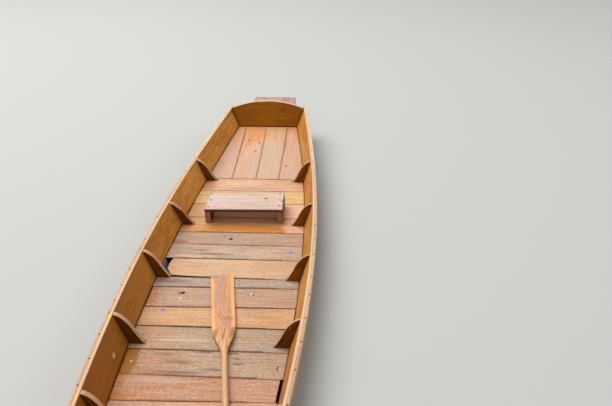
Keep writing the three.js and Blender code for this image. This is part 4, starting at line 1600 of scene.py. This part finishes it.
@dataclass
class Studio:
    """The pale floor at the waterline, the soft lights and the camera."""

    floor_radius: float = 40.0
    hole_half: float = 1.99
    hole_taper: float = 0.15
    floor_colour: str = "#c4c5c2"
    sky_colour: str = "#f4f3f0"
    sky_strength: float = 0.43
    lights_aim: Place = (0.0, 0.4, 0.2)
    camera_place: Place = (0.7164, -3.3778, 2.4720)
    camera_turn: Place = (61.5654, 0.5990, 3.2932)
    lens: float = 38.213

    def build(self) -> None:
        """Builds the floor, the lights and the camera."""
        self.floor()
        self.lights()
        data = bpy.data.cameras.new("camera")
        data.sensor_width = 36.0
        data.lens = self.lens
        camera = stand("camera", data)
        camera.location = self.camera_place
        camera.rotation_euler = [math.radians(a) for a in self.camera_turn]
        bpy.context.scene.camera = camera
        bpy.context.scene.view_settings.view_transform = "Standard"

    def floor(self) -> None:
        """Lays the floor at the waterline, open where the hull goes down through it."""
        mesh = bmesh.new()
        bmesh.ops.create_circle(mesh, segments=96, radius=1.0)
        for vert in mesh.verts:
            y = self.hole_half * vert.co.y
            half = HULL.inner_half(y, WATERLINE) + HULL.side_wide / 2
            x = math.copysign(half * min(1.0, abs(vert.co.x) / self.hole_taper), vert.co.x)
            vert.co = Vector((x, y, WATERLINE))
        ring = bmesh.ops.extrude_edge_only(mesh, edges=mesh.edges[:])
        for vert in [v for v in ring["geom"] if isinstance(v, bmesh.types.BMVert)]:
            far = Vector((vert.co.x, vert.co.y, 0)).normalized() * self.floor_radius
            vert.co = Vector((far.x, far.y, WATERLINE))
        bmesh.ops.recalc_face_normals(mesh, faces=mesh.faces)
        if sum(f.normal.z for f in mesh.faces) < 0:
            bmesh.ops.reverse_faces(mesh, faces=mesh.faces)
        data = bpy.data.meshes.new("studio_floor")
        mesh.to_mesh(data)
        mesh.free()
        data.materials.append(self.floor_finish())
        stand("studio_floor", data)

    def floor_finish(self) -> Material:
        """Makes the floor's matt paint, which shows soft shadows and no mirror image.

        Returns:
            The Blender material.
        """
        material = bare_material("studio floor, matt paint")
        shader = add_node(material.node_tree, "BsdfPrincipled", {
            "Base Color": linear(self.floor_colour), "Roughness": 0.9})
        add_node(material.node_tree, "OutputMaterial", {"Surface": shader.outputs[0]})
        return material

    def lights(self) -> None:
        """Sets a broad key high over the far left, two weaker fills and a pale sky."""
        world = bpy.data.worlds.new("studio sky")
        world.use_nodes = True
        sky = world.node_tree.nodes["Background"]
        sky.inputs["Color"].default_value = linear(self.sky_colour)
        sky.inputs["Strength"].default_value = self.sky_strength
        bpy.context.scene.world = world
        lamps = (("key", (-7.0, 5.0, 15.0), 17.0, 2950.0), ("side fill", (12.0, 2.0, 9.0), 8.0, 250.0),
                 ("near fill", (-3.0, -10.0, 8.0), 7.0, 100.0))
        for name, place, size, power in lamps:
            data = bpy.data.lights.new(name, "AREA")
            data.shape = "DISK"
            data.size = size
            data.energy = power
            light = stand(name, data)
            light.location = place
            aim = Vector(self.lights_aim) - Vector(place)
            light.rotation_euler = aim.to_track_quat("-Z", "Y").to_euler()


def main() -> None:
    """Builds the boat's looks in order and reports each piece."""
    logging.basicConfig(level=logging.INFO, format="%(name)s: %(message)s")
    groups = (Studio(), Bottom(), Sides(), Transoms(), Frames(), Floor(), Stool(), Paddle(), Fastenings())
    for group in groups:
        known = set(bpy.data.objects.keys())
        group.build()
        for name in sorted(set(bpy.data.objects.keys()) - known):
            log.info("%s: %s", type(group).__name__.lower(), name)


if __name__ == "__main__":
    main()
